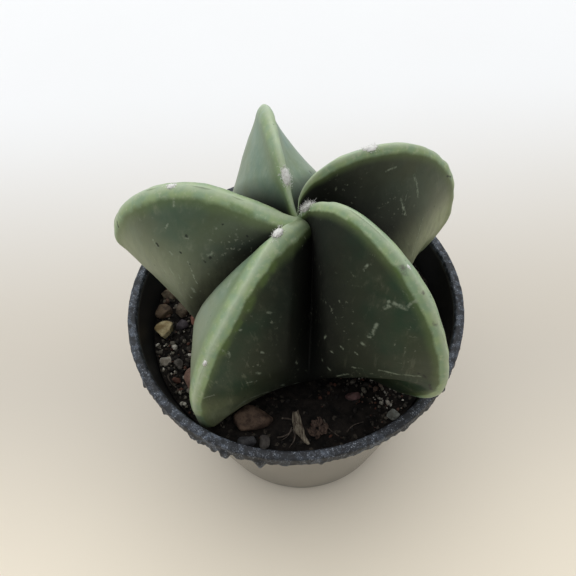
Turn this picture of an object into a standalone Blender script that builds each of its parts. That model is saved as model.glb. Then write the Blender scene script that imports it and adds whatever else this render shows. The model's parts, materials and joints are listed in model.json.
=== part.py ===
"""Bishop's cap cactus with five ribs, standing in a round 8.5 cm nursery pot.

Metres, +Z up. The origin is the middle of the pot's flat bottom, and -Y is the front.
"""
import math

import bmesh
import bpy
import numpy as np
from mathutils import Vector, noise

MM = 0.001
GAP = 0.35 * MM  # free space between touching pieces

# Pot
RIM_R = 42.5 * MM  # outside of the lip
RIM_INNER_R = 40.3 * MM
POT_H = 65.0 * MM
FLOOR_T = 1.2 * MM
WALL_T = 1.0 * MM
BASE_R = 29.0 * MM
LIP_H = 3.3 * MM
LIP_ROUND = 0.6 * MM
LIP_CRUST = 0.7 * MM  # how far the rough lower edge of the lip stands out
DRAIN_R = 3.0 * MM
DRAIN_RING_R = 17.0 * MM
DRAIN_COUNT = 4
POT_COLUMNS = 80

# Soil
SOIL_TOP = 54.4 * MM
SOIL_RELIEF = 0.6 * MM
SOIL_GRAIN = 4.5 * MM  # size of one bump of the relief
SOIL_RINGS = 12

# Plant: heights are over the table, radii from the plant's own axis
PLANT_X = 1.8 * MM
PLANT_Y = 0.2 * MM
CROWN_Z = 96.0 * MM
MID_Z = 70.0 * MM  # the levels are slopes seen from this height on the axis
FOOT_Z = 53.0 * MM
EASE_R = 2.5 * MM  # the ribs take up their sideways shift this near the axis
SWIRL_R = 4.0 * MM
ROLL = 0.35 * MM  # how far the edge beside each crest stands out
ROLL_AT = 1.5 * MM  # how far from the crest that edge is
ROLL_W = 0.8 * MM
HOLLOW = 3.0  # how sharply the part under the fold draws in, 0 for straight
HOLLOW_BY = 0.3  # share of the way from fold to foot where it is at its full hollowness
SLOT_SHARE = 0.55  # a slot is no deeper than this share of the way to the axis
SLOT_FADE = (1.0 * MM, 17.0 * MM)  # heights over the furrow's fold between which a slot deepens
FLANK_COLUMNS = 10
UPPER_LEVELS = 22
UNDER_LEVELS = 8
ROOT = ((1.6, 10.0), (4.0, 7.5), (8.5, 5.5), (12.5, 3.5))  # mm under the foot, radius in mm

# One entry per rib, in mm and degrees. The crest rises from the crown to top, sweeps out to reach and
# curls in to foot; rise, bow and curl shape those three stretches. Under the height fold the flanks turn in.
# flanks and arch say how far the clockwise and the other flank bulge and how far their fold arches up.
# round is half the width of the rounded crest, and lean, shift and swirl move it sideways: in the middle of
# the rib, all along it and near the crown.
RIBS = (
    dict(azimuth=20, top=(13, 108.4), reach=(41.8, 77.5), foot_r=18, fold=72,
         rise=0.30, bow=2.12, curl=1.55, flanks=(-1.4, 0.0), arch=(4.0, 3.0),
         round=1.4, lean=0.0, shift=1.0, swirl=0.0),
    dict(azimuth=98, top=(14, 106.0), reach=(43.3, 78.0), foot_r=18, fold=70,
         rise=0.80, bow=2.10, curl=1.70, flanks=(-2.6, 0.0), arch=(3.0, 3.0),
         round=1.3, lean=0.6, shift=1.0, swirl=0.0),
    dict(azimuth=164, top=(21.5, 102.0), reach=(46.2, 79.5), foot_r=17, fold=76,
         rise=1.40, bow=1.78, curl=1.15, flanks=(0.0, 0.5), arch=(3.0, 4.0),
         round=1.9, lean=0.0, shift=1.0, swirl=0.0),
    dict(azimuth=231, top=(7.5, 99.4), reach=(40.4, 69.0), foot_r=26, fold=57,
         rise=1.00, bow=1.58, curl=4.40, flanks=(1.0, 0.3), arch=(1.0, 4.9),
         round=1.7, lean=1.6, shift=-0.5, swirl=3.0),
    dict(azimuth=309, top=(16, 108.0), reach=(44.0, 77.0), foot_r=20, fold=79.5,
         rise=0.65, bow=2.08, curl=1.66, flanks=(1.2, 0.0), arch=(5.0, 3.0),
         round=1.5, lean=1.0, shift=1.0, swirl=1.5),
)
# The furrow after each of those ribs, counter-clockwise. turn moves it off the middle of its two ribs.
# slot and slot_w are the depth and the half width of the slot that the flanks leave between them.
FURROWS = (
    dict(reach=(25, 76), foot_r=13, fold=60, bow=1.6, curl=2.0, turn=0, shift=1.0, slot=3.0, slot_w=2.0),
    dict(reach=(26, 76), foot_r=13, fold=60, bow=1.5, curl=2.0, turn=0, shift=1.0, slot=3.0, slot_w=2.0),
    dict(reach=(27, 76), foot_r=13, fold=60, bow=1.5, curl=1.8, turn=0, shift=3.2, slot=4.0, slot_w=2.0),
    dict(reach=(23, 71), foot_r=12, fold=62, bow=1.6, curl=2.4, turn=-8, shift=3.6, slot=11.0, slot_w=2.7),
    dict(reach=(24, 74), foot_r=13, fold=60, bow=1.6, curl=2.0, turn=0, shift=1.0, slot=4.0, slot_w=2.0),
)
# Woolly areoles on the crests: rib, distance from the axis, length and height in mm
AREOLES = (
    (0, 17.2, 3.4, 1.3),
    (1, 6.2, 3.8, 1.8),
    (2, 27.5, 3.0, 1.3),
    (3, 8.0, 3.4, 1.7),
    (3, 34.3, 2.2, 1.0),
    (4, 2.6, 4.6, 2.4),
    (4, 29.0, 2.4, 1.0),
)

# Gravel: name, colour, place x and y, size in mm, turn in degrees
STONES = (
    ("stone_cream", "cream", (-35.0, -1.6), (4.8, 5.4, 4.0), 20),
    ("stone_brown", "brown", (-35.4, 4.4), (4.2, 4.2, 3.4), 0),
    ("stone_beige", "cream", (-34.2, 9.8), (4.8, 3.0, 2.8), -12),
    ("stone_greybrown", "brown", (-30.6, 4.6), (3.8, 4.2, 3.2), 10),
    ("stone_purple", "dark", (-30.5, 0.0), (3.4, 3.0, 2.6), 0),
    ("stone_terracotta", "red", (-26.9, 1.4), (2.8, 4.6, 3.0), 10),
    ("stone_offwhite", "cream", (-34.3, -10.8), (3.0, 2.4, 2.0), 15),
    ("stone_pinkbrown", "red", (-27.0, -16.2), (4.2, 6.2, 3.6), -8),
    ("stone_grey", "dark", (-30.8, -11.8), (2.4, 3.4, 2.2), 12),
    ("stone_redbrown", "red", (-12.0, -29.0), (9.0, 5.2, 3.8), 12),
    ("stone_darkgrey", "dark", (-13.4, -33.5), (4.8, 2.6, 2.2), 14),
    ("stone_smallbrown", "brown", (-9.2, -34.2), (2.4, 3.2, 2.0), 0),
    ("stone_lightgrey", "cream", (22.0, -29.0), (3.4, 2.6, 2.2), 20),
    ("stone_reddish", "red", (12.6, -25.0), (4.2, 2.4, 2.0), 8),
    ("bark_crumb", "bark", (4.4, -31.2), (4.6, 4.6, 2.8), 35),
)
STONE_SUNK = 0.30  # share of a stone's height that lies in the soil

# Curled dry scale on the soil, in mm
HUSK_START = (-1.6, -27.2)
HUSK_END = (0.8, -35.4)
HUSK_BEND = 0.9  # how far its middle bows to the right
HUSK_W = 2.4
HUSK_CURL = 75  # degrees from its middle to each edge
HUSK_T = 0.7 * MM

COLOURS = {
    "cactus": ((0.105, 0.150, 0.080), 0.55),
    "pot": ((0.022, 0.025, 0.030), 0.45),
    "soil": ((0.030, 0.024, 0.019), 0.95),
    "cream": ((0.45, 0.40, 0.30), 0.80),
    "brown": ((0.20, 0.15, 0.10), 0.80),
    "dark": ((0.09, 0.08, 0.09), 0.80),
    "red": ((0.26, 0.13, 0.09), 0.85),
    "bark": ((0.14, 0.07, 0.045), 0.90),
    "husk": ((0.42, 0.34, 0.26), 0.75),
}


def clear_scene():
    for obj in list(bpy.data.objects):
        bpy.data.objects.remove(obj, do_unlink=True)


def material(name):
    found = bpy.data.materials.get(name)
    if found:
        return found
    colour, roughness = COLOURS[name]
    made = bpy.data.materials.new(name)
    made.use_nodes = True
    shader = made.node_tree.nodes["Principled BSDF"]
    shader.inputs["Base Color"].default_value = (*colour, 1)
    shader.inputs["Roughness"].default_value = roughness
    shader.inputs["Metallic"].default_value = 0.0
    return made


def mesh_object(name, points, faces, colour=None, collection=None):
    mesh = bpy.data.meshes.new(name)
    mesh.from_pydata([tuple(p) for p in points], [], [tuple(int(i) for i in f) for f in faces])
    mesh.update()
    mesh.shade_smooth()
    obj = bpy.data.objects.new(name, mesh)
    (collection or bpy.context.scene.collection).objects.link(obj)
    if colour:
        mesh.materials.append(material(colour))
    return obj


def ring_body(rings, start, end):
    """Points and faces of a closed body through rings of points, capped at a start and an end point."""
    count, columns = rings.shape[:2]
    points = np.concatenate([rings.reshape(-1, 3), [start], [end]])
    index = np.arange(count * columns).reshape(count, columns)
    after = np.roll(index, -1, axis=1)
    sides = np.stack([index[:-1], index[1:], after[1:], after[:-1]], axis=-1).reshape(-1, 4)
    first, last = count * columns, count * columns + 1
    top = [(first, a, b) for a, b in zip(index[0], after[0])]
    bottom = [(last, b, a) for a, b in zip(index[-1], after[-1])]
    return points, [tuple(f) for f in sides] + top + bottom


def hidden_collection(name):
    """A collection for cutters, which aren't part of the object."""
    group = bpy.data.collections.new(name)
    bpy.context.scene.collection.children.link(group)
    group.hide_render = True
    return group


def as_cutter(obj):
    obj.hide_render = True
    obj.display_type = "WIRE"
    return obj


def apply_boolean(obj, operation, group):
    """Joins or cuts with all of a collection at once, keeps the result and removes the collection."""
    step = obj.modifiers.new(operation.lower(), "BOOLEAN")
    step.operand_type = "COLLECTION"
    step.operation = operation
    step.solver = "EXACT"
    step.collection = group
    bpy.context.view_layer.update()
    done = bpy.data.meshes.new_from_object(obj.evaluated_get(bpy.context.evaluated_depsgraph_get()))
    old = obj.data
    obj.modifiers.clear()
    obj.data = done
    bpy.data.meshes.remove(old)
    for helper in list(group.objects):
        bpy.data.objects.remove(helper, do_unlink=True)
    bpy.data.collections.remove(group)


def inner_wall_r(z):
    """Radius of the pot's inside, a straight taper from the floor to the lip."""
    floor_r = BASE_R - WALL_T
    return floor_r + (RIM_INNER_R - floor_r) * (z - FLOOR_T) / (POT_H - FLOOR_T)


def crust(angle):
    """0 to 1: how rough the lip is here, the most at the front left."""
    place = Vector((math.cos(angle), math.sin(angle), 0.3)) * RIM_R / (3.5 * MM)
    front_left = 0.5 + 0.5 * math.cos(angle - math.radians(245))
    return max(0.0, noise.noise(place) * 0.9 + 0.25) * (0.35 + 0.65 * front_left)


def build_pot():
    lip_z = POT_H - LIP_H
    wall_top = inner_wall_r(lip_z) + WALL_T
    # radius, height and how much of the crust shows there, up the outside and down the inside
    profile = [
        (BASE_R - 1.2 * MM, 0.0, 0),
        (BASE_R - 0.35 * MM, 0.35 * MM, 0),
        (BASE_R, FLOOR_T, 0),
        (wall_top, lip_z, 0.0),
        (RIM_R - 0.5 * LIP_ROUND, lip_z, 1.0),
        (RIM_R, lip_z + LIP_ROUND, 0.9),
        (RIM_R, POT_H - 1.2 * LIP_ROUND, 0.25),
        (RIM_R - 0.4 * LIP_ROUND, POT_H - 0.3 * LIP_ROUND, 0),
        (RIM_R - LIP_ROUND, POT_H, 0),
        (RIM_INNER_R + LIP_ROUND, POT_H, 0),
        (RIM_INNER_R + 0.1 * LIP_ROUND, POT_H - 0.6 * LIP_ROUND, 0),
        (inner_wall_r(FLOOR_T + 1.0 * MM), FLOOR_T + 1.0 * MM, 0),
        (inner_wall_r(FLOOR_T) - 0.8 * MM, FLOOR_T, 0),
    ]
    angles = np.linspace(0, 2 * math.pi, POT_COLUMNS, endpoint=False)
    rough = np.array([crust(a) for a in angles]) * LIP_CRUST
    rings = []
    for r, z, share in profile:
        radius = r + rough * share
        height = z - (rough if share == 1.0 else 0 * rough)
        rings.append(np.stack([radius * np.cos(angles), radius * np.sin(angles), np.broadcast_to(
            height, angles.shape)], axis=-1))
    # the rings run from the floor's outside up and over to its inside, so the caps are the floor's two faces
    points, faces = ring_body(np.array(rings)[::-1], (0, 0, FLOOR_T), (0, 0, 0))
    pot = mesh_object("pot", points, faces, "pot")
    holes = hidden_collection("drain_holes")
    for k in range(DRAIN_COUNT):
        angle = (k + 0.5) * 2 * math.pi / DRAIN_COUNT
        centre = Vector((math.cos(angle), math.sin(angle), 0)) * DRAIN_RING_R
        as_cutter(cylinder("drain", DRAIN_R, 6 * MM, centre, holes))
    apply_boolean(pot, "DIFFERENCE", holes)
    return pot


def cylinder(name, radius, height, centre, collection):
    shape = bmesh.new()
    bmesh.ops.create_cone(
        shape, cap_ends=True, segments=20, radius1=radius, radius2=radius, depth=height)
    mesh = bpy.data.meshes.new(name)
    shape.to_mesh(mesh)
    shape.free()
    obj = bpy.data.objects.new(name, mesh)
    obj.location = centre
    collection.objects.link(obj)
    return obj


def quarter(level_end, upright_end, power, steps=200):
    """A quarter superellipse: level at one end, upright at the other."""
    (r0, z0), (r1, z1) = level_end, upright_end
    turn = np.linspace(0, math.pi / 2, steps)
    return r0 + (r1 - r0) * np.sin(turn) ** (2 / power), z1 + (z0 - z1) * np.cos(turn) ** (2 / power)


def outline(rib):
    """Radius and height along a crest or a furrow, from the crown down to the foot."""
    reach = (rib["reach"][0] * MM, rib["reach"][1] * MM)
    foot = (rib["foot_r"] * MM, FOOT_Z)
    if "top" in rib:
        top = (rib["top"][0] * MM, rib["top"][1] * MM)
        share = np.linspace(0, 1, 200)
        rise_r = top[0] * share
        rise_z = CROWN_Z + (top[1] - CROWN_Z) * np.sin(math.pi / 2 * share) ** rib["rise"]
    else:
        top = (0.0, CROWN_Z)
        rise_r, rise_z = np.zeros(1), np.full(1, CROWN_Z)
    out_r, out_z = quarter(top, reach, rib["bow"])
    under_r, under_z = quarter(foot, reach, rib["curl"])
    return (np.concatenate([rise_r, out_r[1:], under_r[::-1][1:]]),
            np.concatenate([rise_z, out_z[1:], under_z[::-1][1:]]))


def level_shares():
    """Shares of the way down to the fold, and of the way from the fold to the foot."""
    down = (np.arange(1, UPPER_LEVELS + 1) / UPPER_LEVELS) ** 0.9
    under = (np.arange(1, UNDER_LEVELS + 1) / UNDER_LEVELS) ** 1.25
    return down, under


def at_levels(rib):
    """The outline at even steps of slope, seen from the middle of the plant: from upright to the fold,
    then on to the foot."""
    r, z = outline(rib)
    slope = np.minimum.accumulate(np.arctan2(z - MID_Z, np.maximum(r, 1e-9)))
    outer = slope < math.pi / 3
    fold = np.interp(-rib["fold"] * MM, -z[outer], slope[outer])
    down, under = level_shares()
    upright = math.pi / 2
    wanted = np.concatenate([upright + (fold - upright) * down, fold + (slope[-1] - fold) * under])
    return np.interp(-wanted, -slope, r), np.interp(-wanted, -slope, z)


def smooth_step(low, high, value):
    share = np.clip((value - low) / (high - low), 0, 1)
    return share * share * (3 - 2 * share)


def crest_aside(rib, r):
    """How far the crest stands to one side of its rib's middle plane, at a distance from the axis."""
    turned = (rib["shift"] + rib["swirl"] * np.exp(-r / SWIRL_R)) * (1 - np.exp(-r / EASE_R))
    return (turned + rib["lean"] * np.sin(math.pi * np.clip(r / (rib["reach"][0] * MM), 0, 1))) * MM


def furrow_azimuth(index):
    here = RIBS[index]["azimuth"]
    after = RIBS[(index + 1) % len(RIBS)]["azimuth"]
    if after < here:
        after += 360
    return math.radians((here + after) / 2 + FURROWS[index]["turn"])


def plant_rings(grow=0.0):
    """Rings of points round the plant at each level, from the crown to the foot.

    Each cross line of a flank runs from the crest to the furrow and is a hyperbola: rounded on the crest,
    straight down the flank. The fold at the flank's lower edge arches up, the part under it draws in hollow,
    and the flanks sink into a slot along each furrow. grow swells the plant, for the room in the soil."""
    step = np.arange(FLANK_COLUMNS + 1) / FLANK_COLUMNS
    share = 0.45 * step**1.5 + 0.275 * (1 - np.cos(math.pi * step))
    down, under = level_shares()
    below = np.concatenate([0 * down, under])[:, None]
    hollow = 1 + HOLLOW * smooth_step(0, HOLLOW_BY, below) * (1 - below) ** 0.6
    lift = np.concatenate([down**3, (1 - under) ** 2])[:, None] * MM
    columns = []
    for index, rib in enumerate(RIBS):
        crest_r, crest_z = at_levels(rib)
        crest_r = crest_r + 2.2 * grow
        azimuth = math.radians(rib["azimuth"])
        out = np.array([math.cos(azimuth), math.sin(azimuth)])
        side = np.array([-out[1], out[0]])
        crest_side = crest_aside(rib, crest_r)
        for way, turned in ((-1, index - 1), (1, index)):
            furrow = FURROWS[turned]
            furrow_r, furrow_z = at_levels(furrow)
            furrow_r = furrow_r + 1.25 * grow
            shift = furrow["shift"] * MM * (1 - np.exp(-furrow_r / EASE_R))
            angle = furrow_azimuth(turned % len(RIBS))
            ahead = np.array([math.cos(angle), math.sin(angle)])
            place = furrow_r[:, None] * ahead + shift[:, None] * np.array([-ahead[1], ahead[0]])
            furrow_out, furrow_side = place @ out, place @ side
            width = np.abs(furrow_side - crest_side)[:, None]
            soft = np.minimum(rib["round"] * MM / np.maximum(width, 1e-6), 2.0)
            fall = (np.sqrt(share**2 + soft**2) - soft) / (np.sqrt(1 + soft**2) - soft)
            hump = 4 * fall * (1 - fall)
            bulge = rib["flanks"][way > 0] * MM * hump * np.minimum(width / (8 * MM), 1)
            roll = ROLL * np.exp(-((share * width - ROLL_AT) / ROLL_W) ** 2)
            bulge = bulge + roll * smooth_step(2 * MM, 6 * MM, width)
            reach = crest_r[:, None] + (furrow_out - crest_r)[:, None] * (1 - (1 - fall) ** hollow)
            across = crest_side[:, None] + (furrow_side - crest_side)[:, None] * share
            across = across + bulge * (1 - below) * way
            height = crest_z[:, None] + (furrow_z - crest_z)[:, None] * fall - 1.2 * grow
            height = height + rib["arch"][way > 0] * lift * hump
            fold = furrow["fold"] * MM
            depth = np.minimum(furrow["slot"] * MM, SLOT_SHARE * furrow_r)
            depth = depth * smooth_step(fold + SLOT_FADE[0], fold + SLOT_FADE[1], furrow_z)
            half = np.maximum(np.minimum(furrow["slot_w"] * MM, 0.75 * width), 1e-6)
            sink = depth[:, None] * (1 - np.clip(width * (1 - share) / half, 0, 1)) ** 1.2
            flat = reach[..., None] * out + across[..., None] * side - sink[..., None] * ahead
            flank = np.concatenate([flat, height[..., None]], axis=-1)
            # towards the crest on the clockwise side, away from it on the other, each end once
            columns.append(flank[:, :0:-1] if way < 0 else flank[:, :-1])
    return np.concatenate(columns, axis=1)


def root_rings(foot, grow):
    """The stump under the foot: the star of the ribs draws in to a round root."""
    angles = np.arctan2(foot[:, 1], foot[:, 0])
    rings = []
    for depth, radius in ROOT:
        radius = radius * MM + grow
        level = FOOT_Z - depth * MM - 1.2 * grow
        rings.append(np.stack(
            [radius * np.cos(angles), radius * np.sin(angles), np.full(len(angles), level)], axis=-1))
    return np.array(rings)


def plant_body(name, grow=0.0, colour=None, collection=None):
    rings = plant_rings(grow)
    rings = np.concatenate([rings, root_rings(rings[-1], grow)])
    rings[..., 0] += PLANT_X
    rings[..., 1] += PLANT_Y
    points, faces = ring_body(
        rings, (PLANT_X, PLANT_Y, CROWN_Z - 1.2 * grow), (PLANT_X, PLANT_Y, rings[-1, 0, 2]))
    return mesh_object(name, points, faces, colour, collection)


def crest_point(rib, distance):
    """The place on a rib's crest at a distance from the axis, and the crest's direction there."""
    r, z = outline(rib)
    top_half = slice(0, int(np.argmax(r)))
    azimuth = math.radians(rib["azimuth"])
    near = distance * MM
    height = float(np.interp(near, r[top_half], z[top_half]))
    step = 0.5 * MM
    rise = float(np.interp(near + step, r[top_half], z[top_half])) - height
    aside = float(crest_aside(rib, near))
    place = Vector((PLANT_X + near * math.cos(azimuth) - aside * math.sin(azimuth),
                    PLANT_Y + near * math.sin(azimuth) + aside * math.cos(azimuth), height))
    along = Vector((step * math.cos(azimuth), step * math.sin(azimuth), rise)).normalized()
    return place, along


def lump(name, size, seed, roughness, collection=None, colour=None):
    """A rounded lump: a ball pressed to a size, its surface pushed in and out by noise."""
    shape = bmesh.new()
    bmesh.ops.create_icosphere(shape, subdivisions=2, radius=1.0)
    for vertex in shape.verts:
        push = 1 + roughness * noise.noise(vertex.co * 1.3 + Vector((seed * 7.1, seed * 3.3, 0)))
        vertex.co = Vector([c * push * s / 2 for c, s in zip(vertex.co, size)])
    mesh = bpy.data.meshes.new(name)
    shape.to_mesh(mesh)
    shape.free()
    mesh.shade_smooth()
    obj = bpy.data.objects.new(name, mesh)
    (collection or bpy.context.scene.collection).objects.link(obj)
    if colour:
        mesh.materials.append(material(colour))
    return obj


def build_cactus():
    body = plant_body("cactus", colour="cactus")
    wool = hidden_collection("wool")
    for number, (rib, distance, length, height) in enumerate(AREOLES):
        place, along = crest_point(RIBS[rib], distance)
        size = (length * MM, 0.75 * length * MM, 1.4 * height * MM)
        tuft = lump(f"wool_{number}", size, number, 0.3, wool)
        tuft.rotation_mode = "QUATERNION"
        tuft.rotation_quaternion = along.to_track_quat("X", "Z")
        tuft.location = place
    apply_boolean(body, "UNION", wool)
    return body


def stone_at(entry, number, spare=0.0, collection=None, colour=None):
    name, _, (x, y), size, turn = entry
    grown = [s * MM + 2 * spare for s in size]
    stone = lump(name, grown, number + 3, 0.35, collection, colour)
    stone.location = (x * MM, y * MM, SOIL_TOP + (0.5 - STONE_SUNK) * size[2] * MM)
    stone.rotation_euler = (0, 0, math.radians(turn))
    return stone


def husk_body(name, spare=0.0, colour=None, collection=None):
    """A strip curled like a gutter: arcs across, carried along a bowed line, with an even thickness."""
    start, end = Vector(HUSK_START) * MM, Vector(HUSK_END) * MM
    way = (end - start).normalized()
    right = Vector((-way.y, way.x))
    start, end = start - way * spare, end + way * spare
    outer = HUSK_W / 2 * MM + spare
    inner = HUSK_W / 2 * MM - HUSK_T - spare
    curl = math.radians(HUSK_CURL) + spare / outer
    rows, arcs = 9, 7
    rings = []
    for share in np.linspace(0, 1, rows):
        bow = HUSK_BEND * MM * math.sin(math.pi * share)
        middle = start + (end - start) * share + right * bow
        narrow = 0.55 + 0.45 * math.sin(math.pi * (0.12 + 0.76 * share))
        swing = np.linspace(-curl, curl, arcs)
        loop = [(outer * narrow * math.sin(a), -outer * narrow * math.cos(a)) for a in swing]
        loop += [(inner * narrow * math.sin(a), -inner * narrow * math.cos(a)) for a in swing[::-1]]
        floor = SOIL_TOP + HUSK_W / 2 * MM - 0.25 * MM
        rings.append([(middle.x + right.x * u, middle.y + right.y * u, floor + v) for u, v in loop])
    rings = np.array(rings)
    count, around = rings.shape[:2]
    index = np.arange(count * around).reshape(count, around)
    after = np.roll(index, -1, axis=1)
    faces = np.stack([index[:-1], after[:-1], after[1:], index[1:]], axis=-1).reshape(-1, 4).tolist()
    for row, last in ((index[0], False), (index[-1], True)):
        cap = [(row[k], row[around - 1 - k], row[around - 2 - k], row[k + 1]) for k in range(arcs - 1)]
        faces += [face[::-1] for face in cap] if last else cap
    return mesh_object(name, rings.reshape(-1, 3), faces, colour, collection)


def build_soil():
    """A plug that fills the pot, its top in gritty bumps, with pockets for all that stands or lies in it."""
    angles = np.linspace(0, 2 * math.pi, POT_COLUMNS, endpoint=False)
    rim_r = inner_wall_r(SOIL_TOP) - GAP
    rings = []
    for r in rim_r * np.linspace(0.1, 1, SOIL_RINGS) ** 0.8:
        x, y = r * np.cos(angles), r * np.sin(angles)
        z = [noise.noise(Vector((a, b, 0)) / SOIL_GRAIN) * SOIL_RELIEF + SOIL_TOP for a, b in zip(x, y)]
        rings.append(np.stack([x, y, z], axis=-1))
    floor_z = FLOOR_T + GAP
    for r, z in ((inner_wall_r(floor_z + 1.2 * MM) - GAP, floor_z + 1.2 * MM),
                 (inner_wall_r(floor_z) - 1.2 * MM, floor_z)):
        rings.append(np.stack([r * np.cos(angles), r * np.sin(angles), np.full(len(angles), z)], axis=-1))
    points, faces = ring_body(np.array(rings), (0, 0, SOIL_TOP), (0, 0, floor_z))
    soil = mesh_object("soil", points, faces, "soil")
    pockets = hidden_collection("pockets")
    as_cutter(plant_body("plant_room", GAP, collection=pockets))
    for number, entry in enumerate(STONES):
        as_cutter(stone_at(entry, number, GAP, pockets))
    as_cutter(husk_body("husk_room", GAP, collection=pockets))
    apply_boolean(soil, "DIFFERENCE", pockets)
    return soil


def main():
    clear_scene()
    base = bpy.data.objects.new("potted_cactus", None)
    bpy.context.scene.collection.objects.link(base)
    parts = [build_pot(), build_soil(), build_cactus()]
    parts += [stone_at(entry, number, colour=entry[1]) for number, entry in enumerate(STONES)]
    parts.append(husk_body("dry_husk", colour="husk"))
    for part in parts:
        part.parent = base


main()
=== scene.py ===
import json
import math

import bpy
import numpy as np
from mathutils import Matrix, Vector
from mathutils.bvhtree import BVHTree

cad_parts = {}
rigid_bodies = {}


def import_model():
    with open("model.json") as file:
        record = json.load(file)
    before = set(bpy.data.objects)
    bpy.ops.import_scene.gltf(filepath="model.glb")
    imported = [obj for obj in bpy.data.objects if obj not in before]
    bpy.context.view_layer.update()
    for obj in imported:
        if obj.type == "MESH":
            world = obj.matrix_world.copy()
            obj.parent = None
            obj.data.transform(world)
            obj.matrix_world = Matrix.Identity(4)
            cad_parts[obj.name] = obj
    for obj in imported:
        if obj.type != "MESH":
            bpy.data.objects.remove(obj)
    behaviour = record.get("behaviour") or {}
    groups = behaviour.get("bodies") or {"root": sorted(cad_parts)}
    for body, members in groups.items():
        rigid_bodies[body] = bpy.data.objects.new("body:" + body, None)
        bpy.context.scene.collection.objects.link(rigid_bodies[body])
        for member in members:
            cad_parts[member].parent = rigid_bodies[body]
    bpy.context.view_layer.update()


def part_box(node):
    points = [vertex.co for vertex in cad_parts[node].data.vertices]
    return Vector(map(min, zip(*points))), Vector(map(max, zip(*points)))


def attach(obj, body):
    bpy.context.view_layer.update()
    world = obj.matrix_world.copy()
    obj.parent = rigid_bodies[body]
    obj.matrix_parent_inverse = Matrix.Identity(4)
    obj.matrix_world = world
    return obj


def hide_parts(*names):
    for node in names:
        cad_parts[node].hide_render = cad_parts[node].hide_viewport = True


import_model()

mm = 0.001
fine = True


# shapes as arrays of points, in millimetres

# odd factors that turn a lattice point into a random number
scramble = {
    "axes": (73856093, 19349663, 83492791), "seed": 2654435,
    "first": 1274126177, "second": 668265263, "mask": 0x7FFFFFFF,
}


def valueNoise(points, cell, seed=0):
    # random numbers from -1 to 1 on a cubic lattice, blended inside each cell by smooth steps
    place = np.asarray(points, float) / cell
    base = np.floor(place).astype(np.int64)
    part = place - base
    part = part * part * (3 - 2 * part)
    total = np.zeros(part.shape[:-1])
    for corner in range(8):
        step = np.array([corner & 1, corner >> 1 & 1, corner >> 2 & 1])
        mixed = (base + step) @ np.array(scramble["axes"]) + seed * scramble["seed"]
        mixed = (mixed ^ (mixed >> 13)) * scramble["first"] & scramble["mask"]
        mixed = (mixed ^ (mixed >> 15)) * scramble["second"] & scramble["mask"]
        weight = np.prod(np.where(step == 1, part, 1 - part), axis=-1)
        total = total + weight * (mixed / (scramble["mask"] // 2) - 1)
    return total


def layeredNoise(points, cell, layers=3, seed=0):
    # value noise at cell, half of it, a quarter ... each with half the height of the last
    return sum(valueNoise(points, cell / 2**k, seed + k) / 2**k for k in range(layers))


def gridNormals(grid):
    # the cross product of the steps along both ways of the grid; columns close up, rows don't
    alongColumns = np.roll(grid, -1, axis=-2) - np.roll(grid, 1, axis=-2)
    alongRows = np.gradient(grid, axis=-3)
    across = np.cross(alongColumns, alongRows)
    return across / np.maximum(np.linalg.norm(across, axis=-1, keepdims=True), 1e-9)


def tubeFaces(rows, columns):
    # quads between neighbouring points of a grid whose columns close up
    index = np.arange(rows * columns).reshape(rows, columns)
    upper = index[:-1]
    lower = index[1:]
    corners = [upper, lower, np.roll(lower, -1, axis=1), np.roll(upper, -1, axis=1)]
    return np.stack(corners, axis=-1).reshape(-1, 4)


def makeMesh(name, points, quads, triangles=(), values=None, smooth=True):
    # puts whole arrays of points (mm), quads and triangles into a new mesh object, with named
    # values per point
    points = np.asarray(points, float).reshape(-1, 3) * mm
    quads = np.asarray(quads, np.int32).reshape(-1, 4)
    triangles = np.asarray(triangles, np.int32).reshape(-1, 3)
    mesh = bpy.data.meshes.new(name)
    mesh.vertices.add(len(points))
    mesh.vertices.foreach_set("co", points.astype(np.float32).ravel())
    corners = np.concatenate([quads.ravel(), triangles.ravel()])
    starts = np.concatenate([np.arange(len(quads)) * 4, len(quads) * 4 + np.arange(len(triangles)) * 3])
    mesh.loops.add(len(corners))
    mesh.loops.foreach_set("vertex_index", corners)
    mesh.polygons.add(len(starts))
    mesh.polygons.foreach_set("loop_start", starts.astype(np.int32))
    for key, numbers in (values or {}).items():
        stored = mesh.attributes.new(key, "FLOAT", "POINT")
        stored.data.foreach_set("value", np.asarray(numbers, np.float32).ravel())
    mesh.update(calc_edges=True)
    mesh.validate()
    if smooth:
        mesh.shade_smooth()
    piece = bpy.data.objects.new(name, mesh)
    bpy.context.scene.collection.objects.link(piece)
    return piece


def manyBodies(name, rings, values=None, smooth=True, ends=None):
    # closed bodies in one mesh: an array (bodies, rings, columns, 3) and the two points
    # that close each body by fans, which are the middles of its end rings if none are given
    count, rows, columns = rings.shape[:3]
    if ends is None:
        ends = np.stack([rings[:, 0].mean(axis=1), rings[:, -1].mean(axis=1)], axis=1)
    each = rows * columns + 2
    points = np.concatenate([rings.reshape(count, -1, 3), ends], axis=1)
    ring = np.arange(columns)
    after = np.roll(ring, -1)
    top = np.stack([np.full(columns, each - 2), ring, after], axis=-1)
    base = (rows - 1) * columns
    bottom = np.stack([np.full(columns, each - 1), after + base, ring + base], axis=-1)
    shift = (np.arange(count) * each)[:, None, None]
    quads = tubeFaces(rows, columns)[None] + shift
    triangles = np.concatenate([top, bottom])[None] + shift
    full = {}
    for key, v in (values or {}).items():
        v = np.asarray(v)
        full[key] = np.repeat(v, each, axis=0) if len(v) == count else v
    return makeMesh(name, points, quads, triangles, full, smooth)


def closedBody(name, rings, start, end, values=None):
    # one body: rings of points from one end to the other, each end closed by a fan to a point
    full = {}
    for key, v in (values or {}).items():
        full[key] = np.concatenate([v.reshape(-1), [v[0].mean(), v[-1].mean()]])
    return manyBodies(name, rings[None], full, ends=np.array([[start, end]], float))


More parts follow.
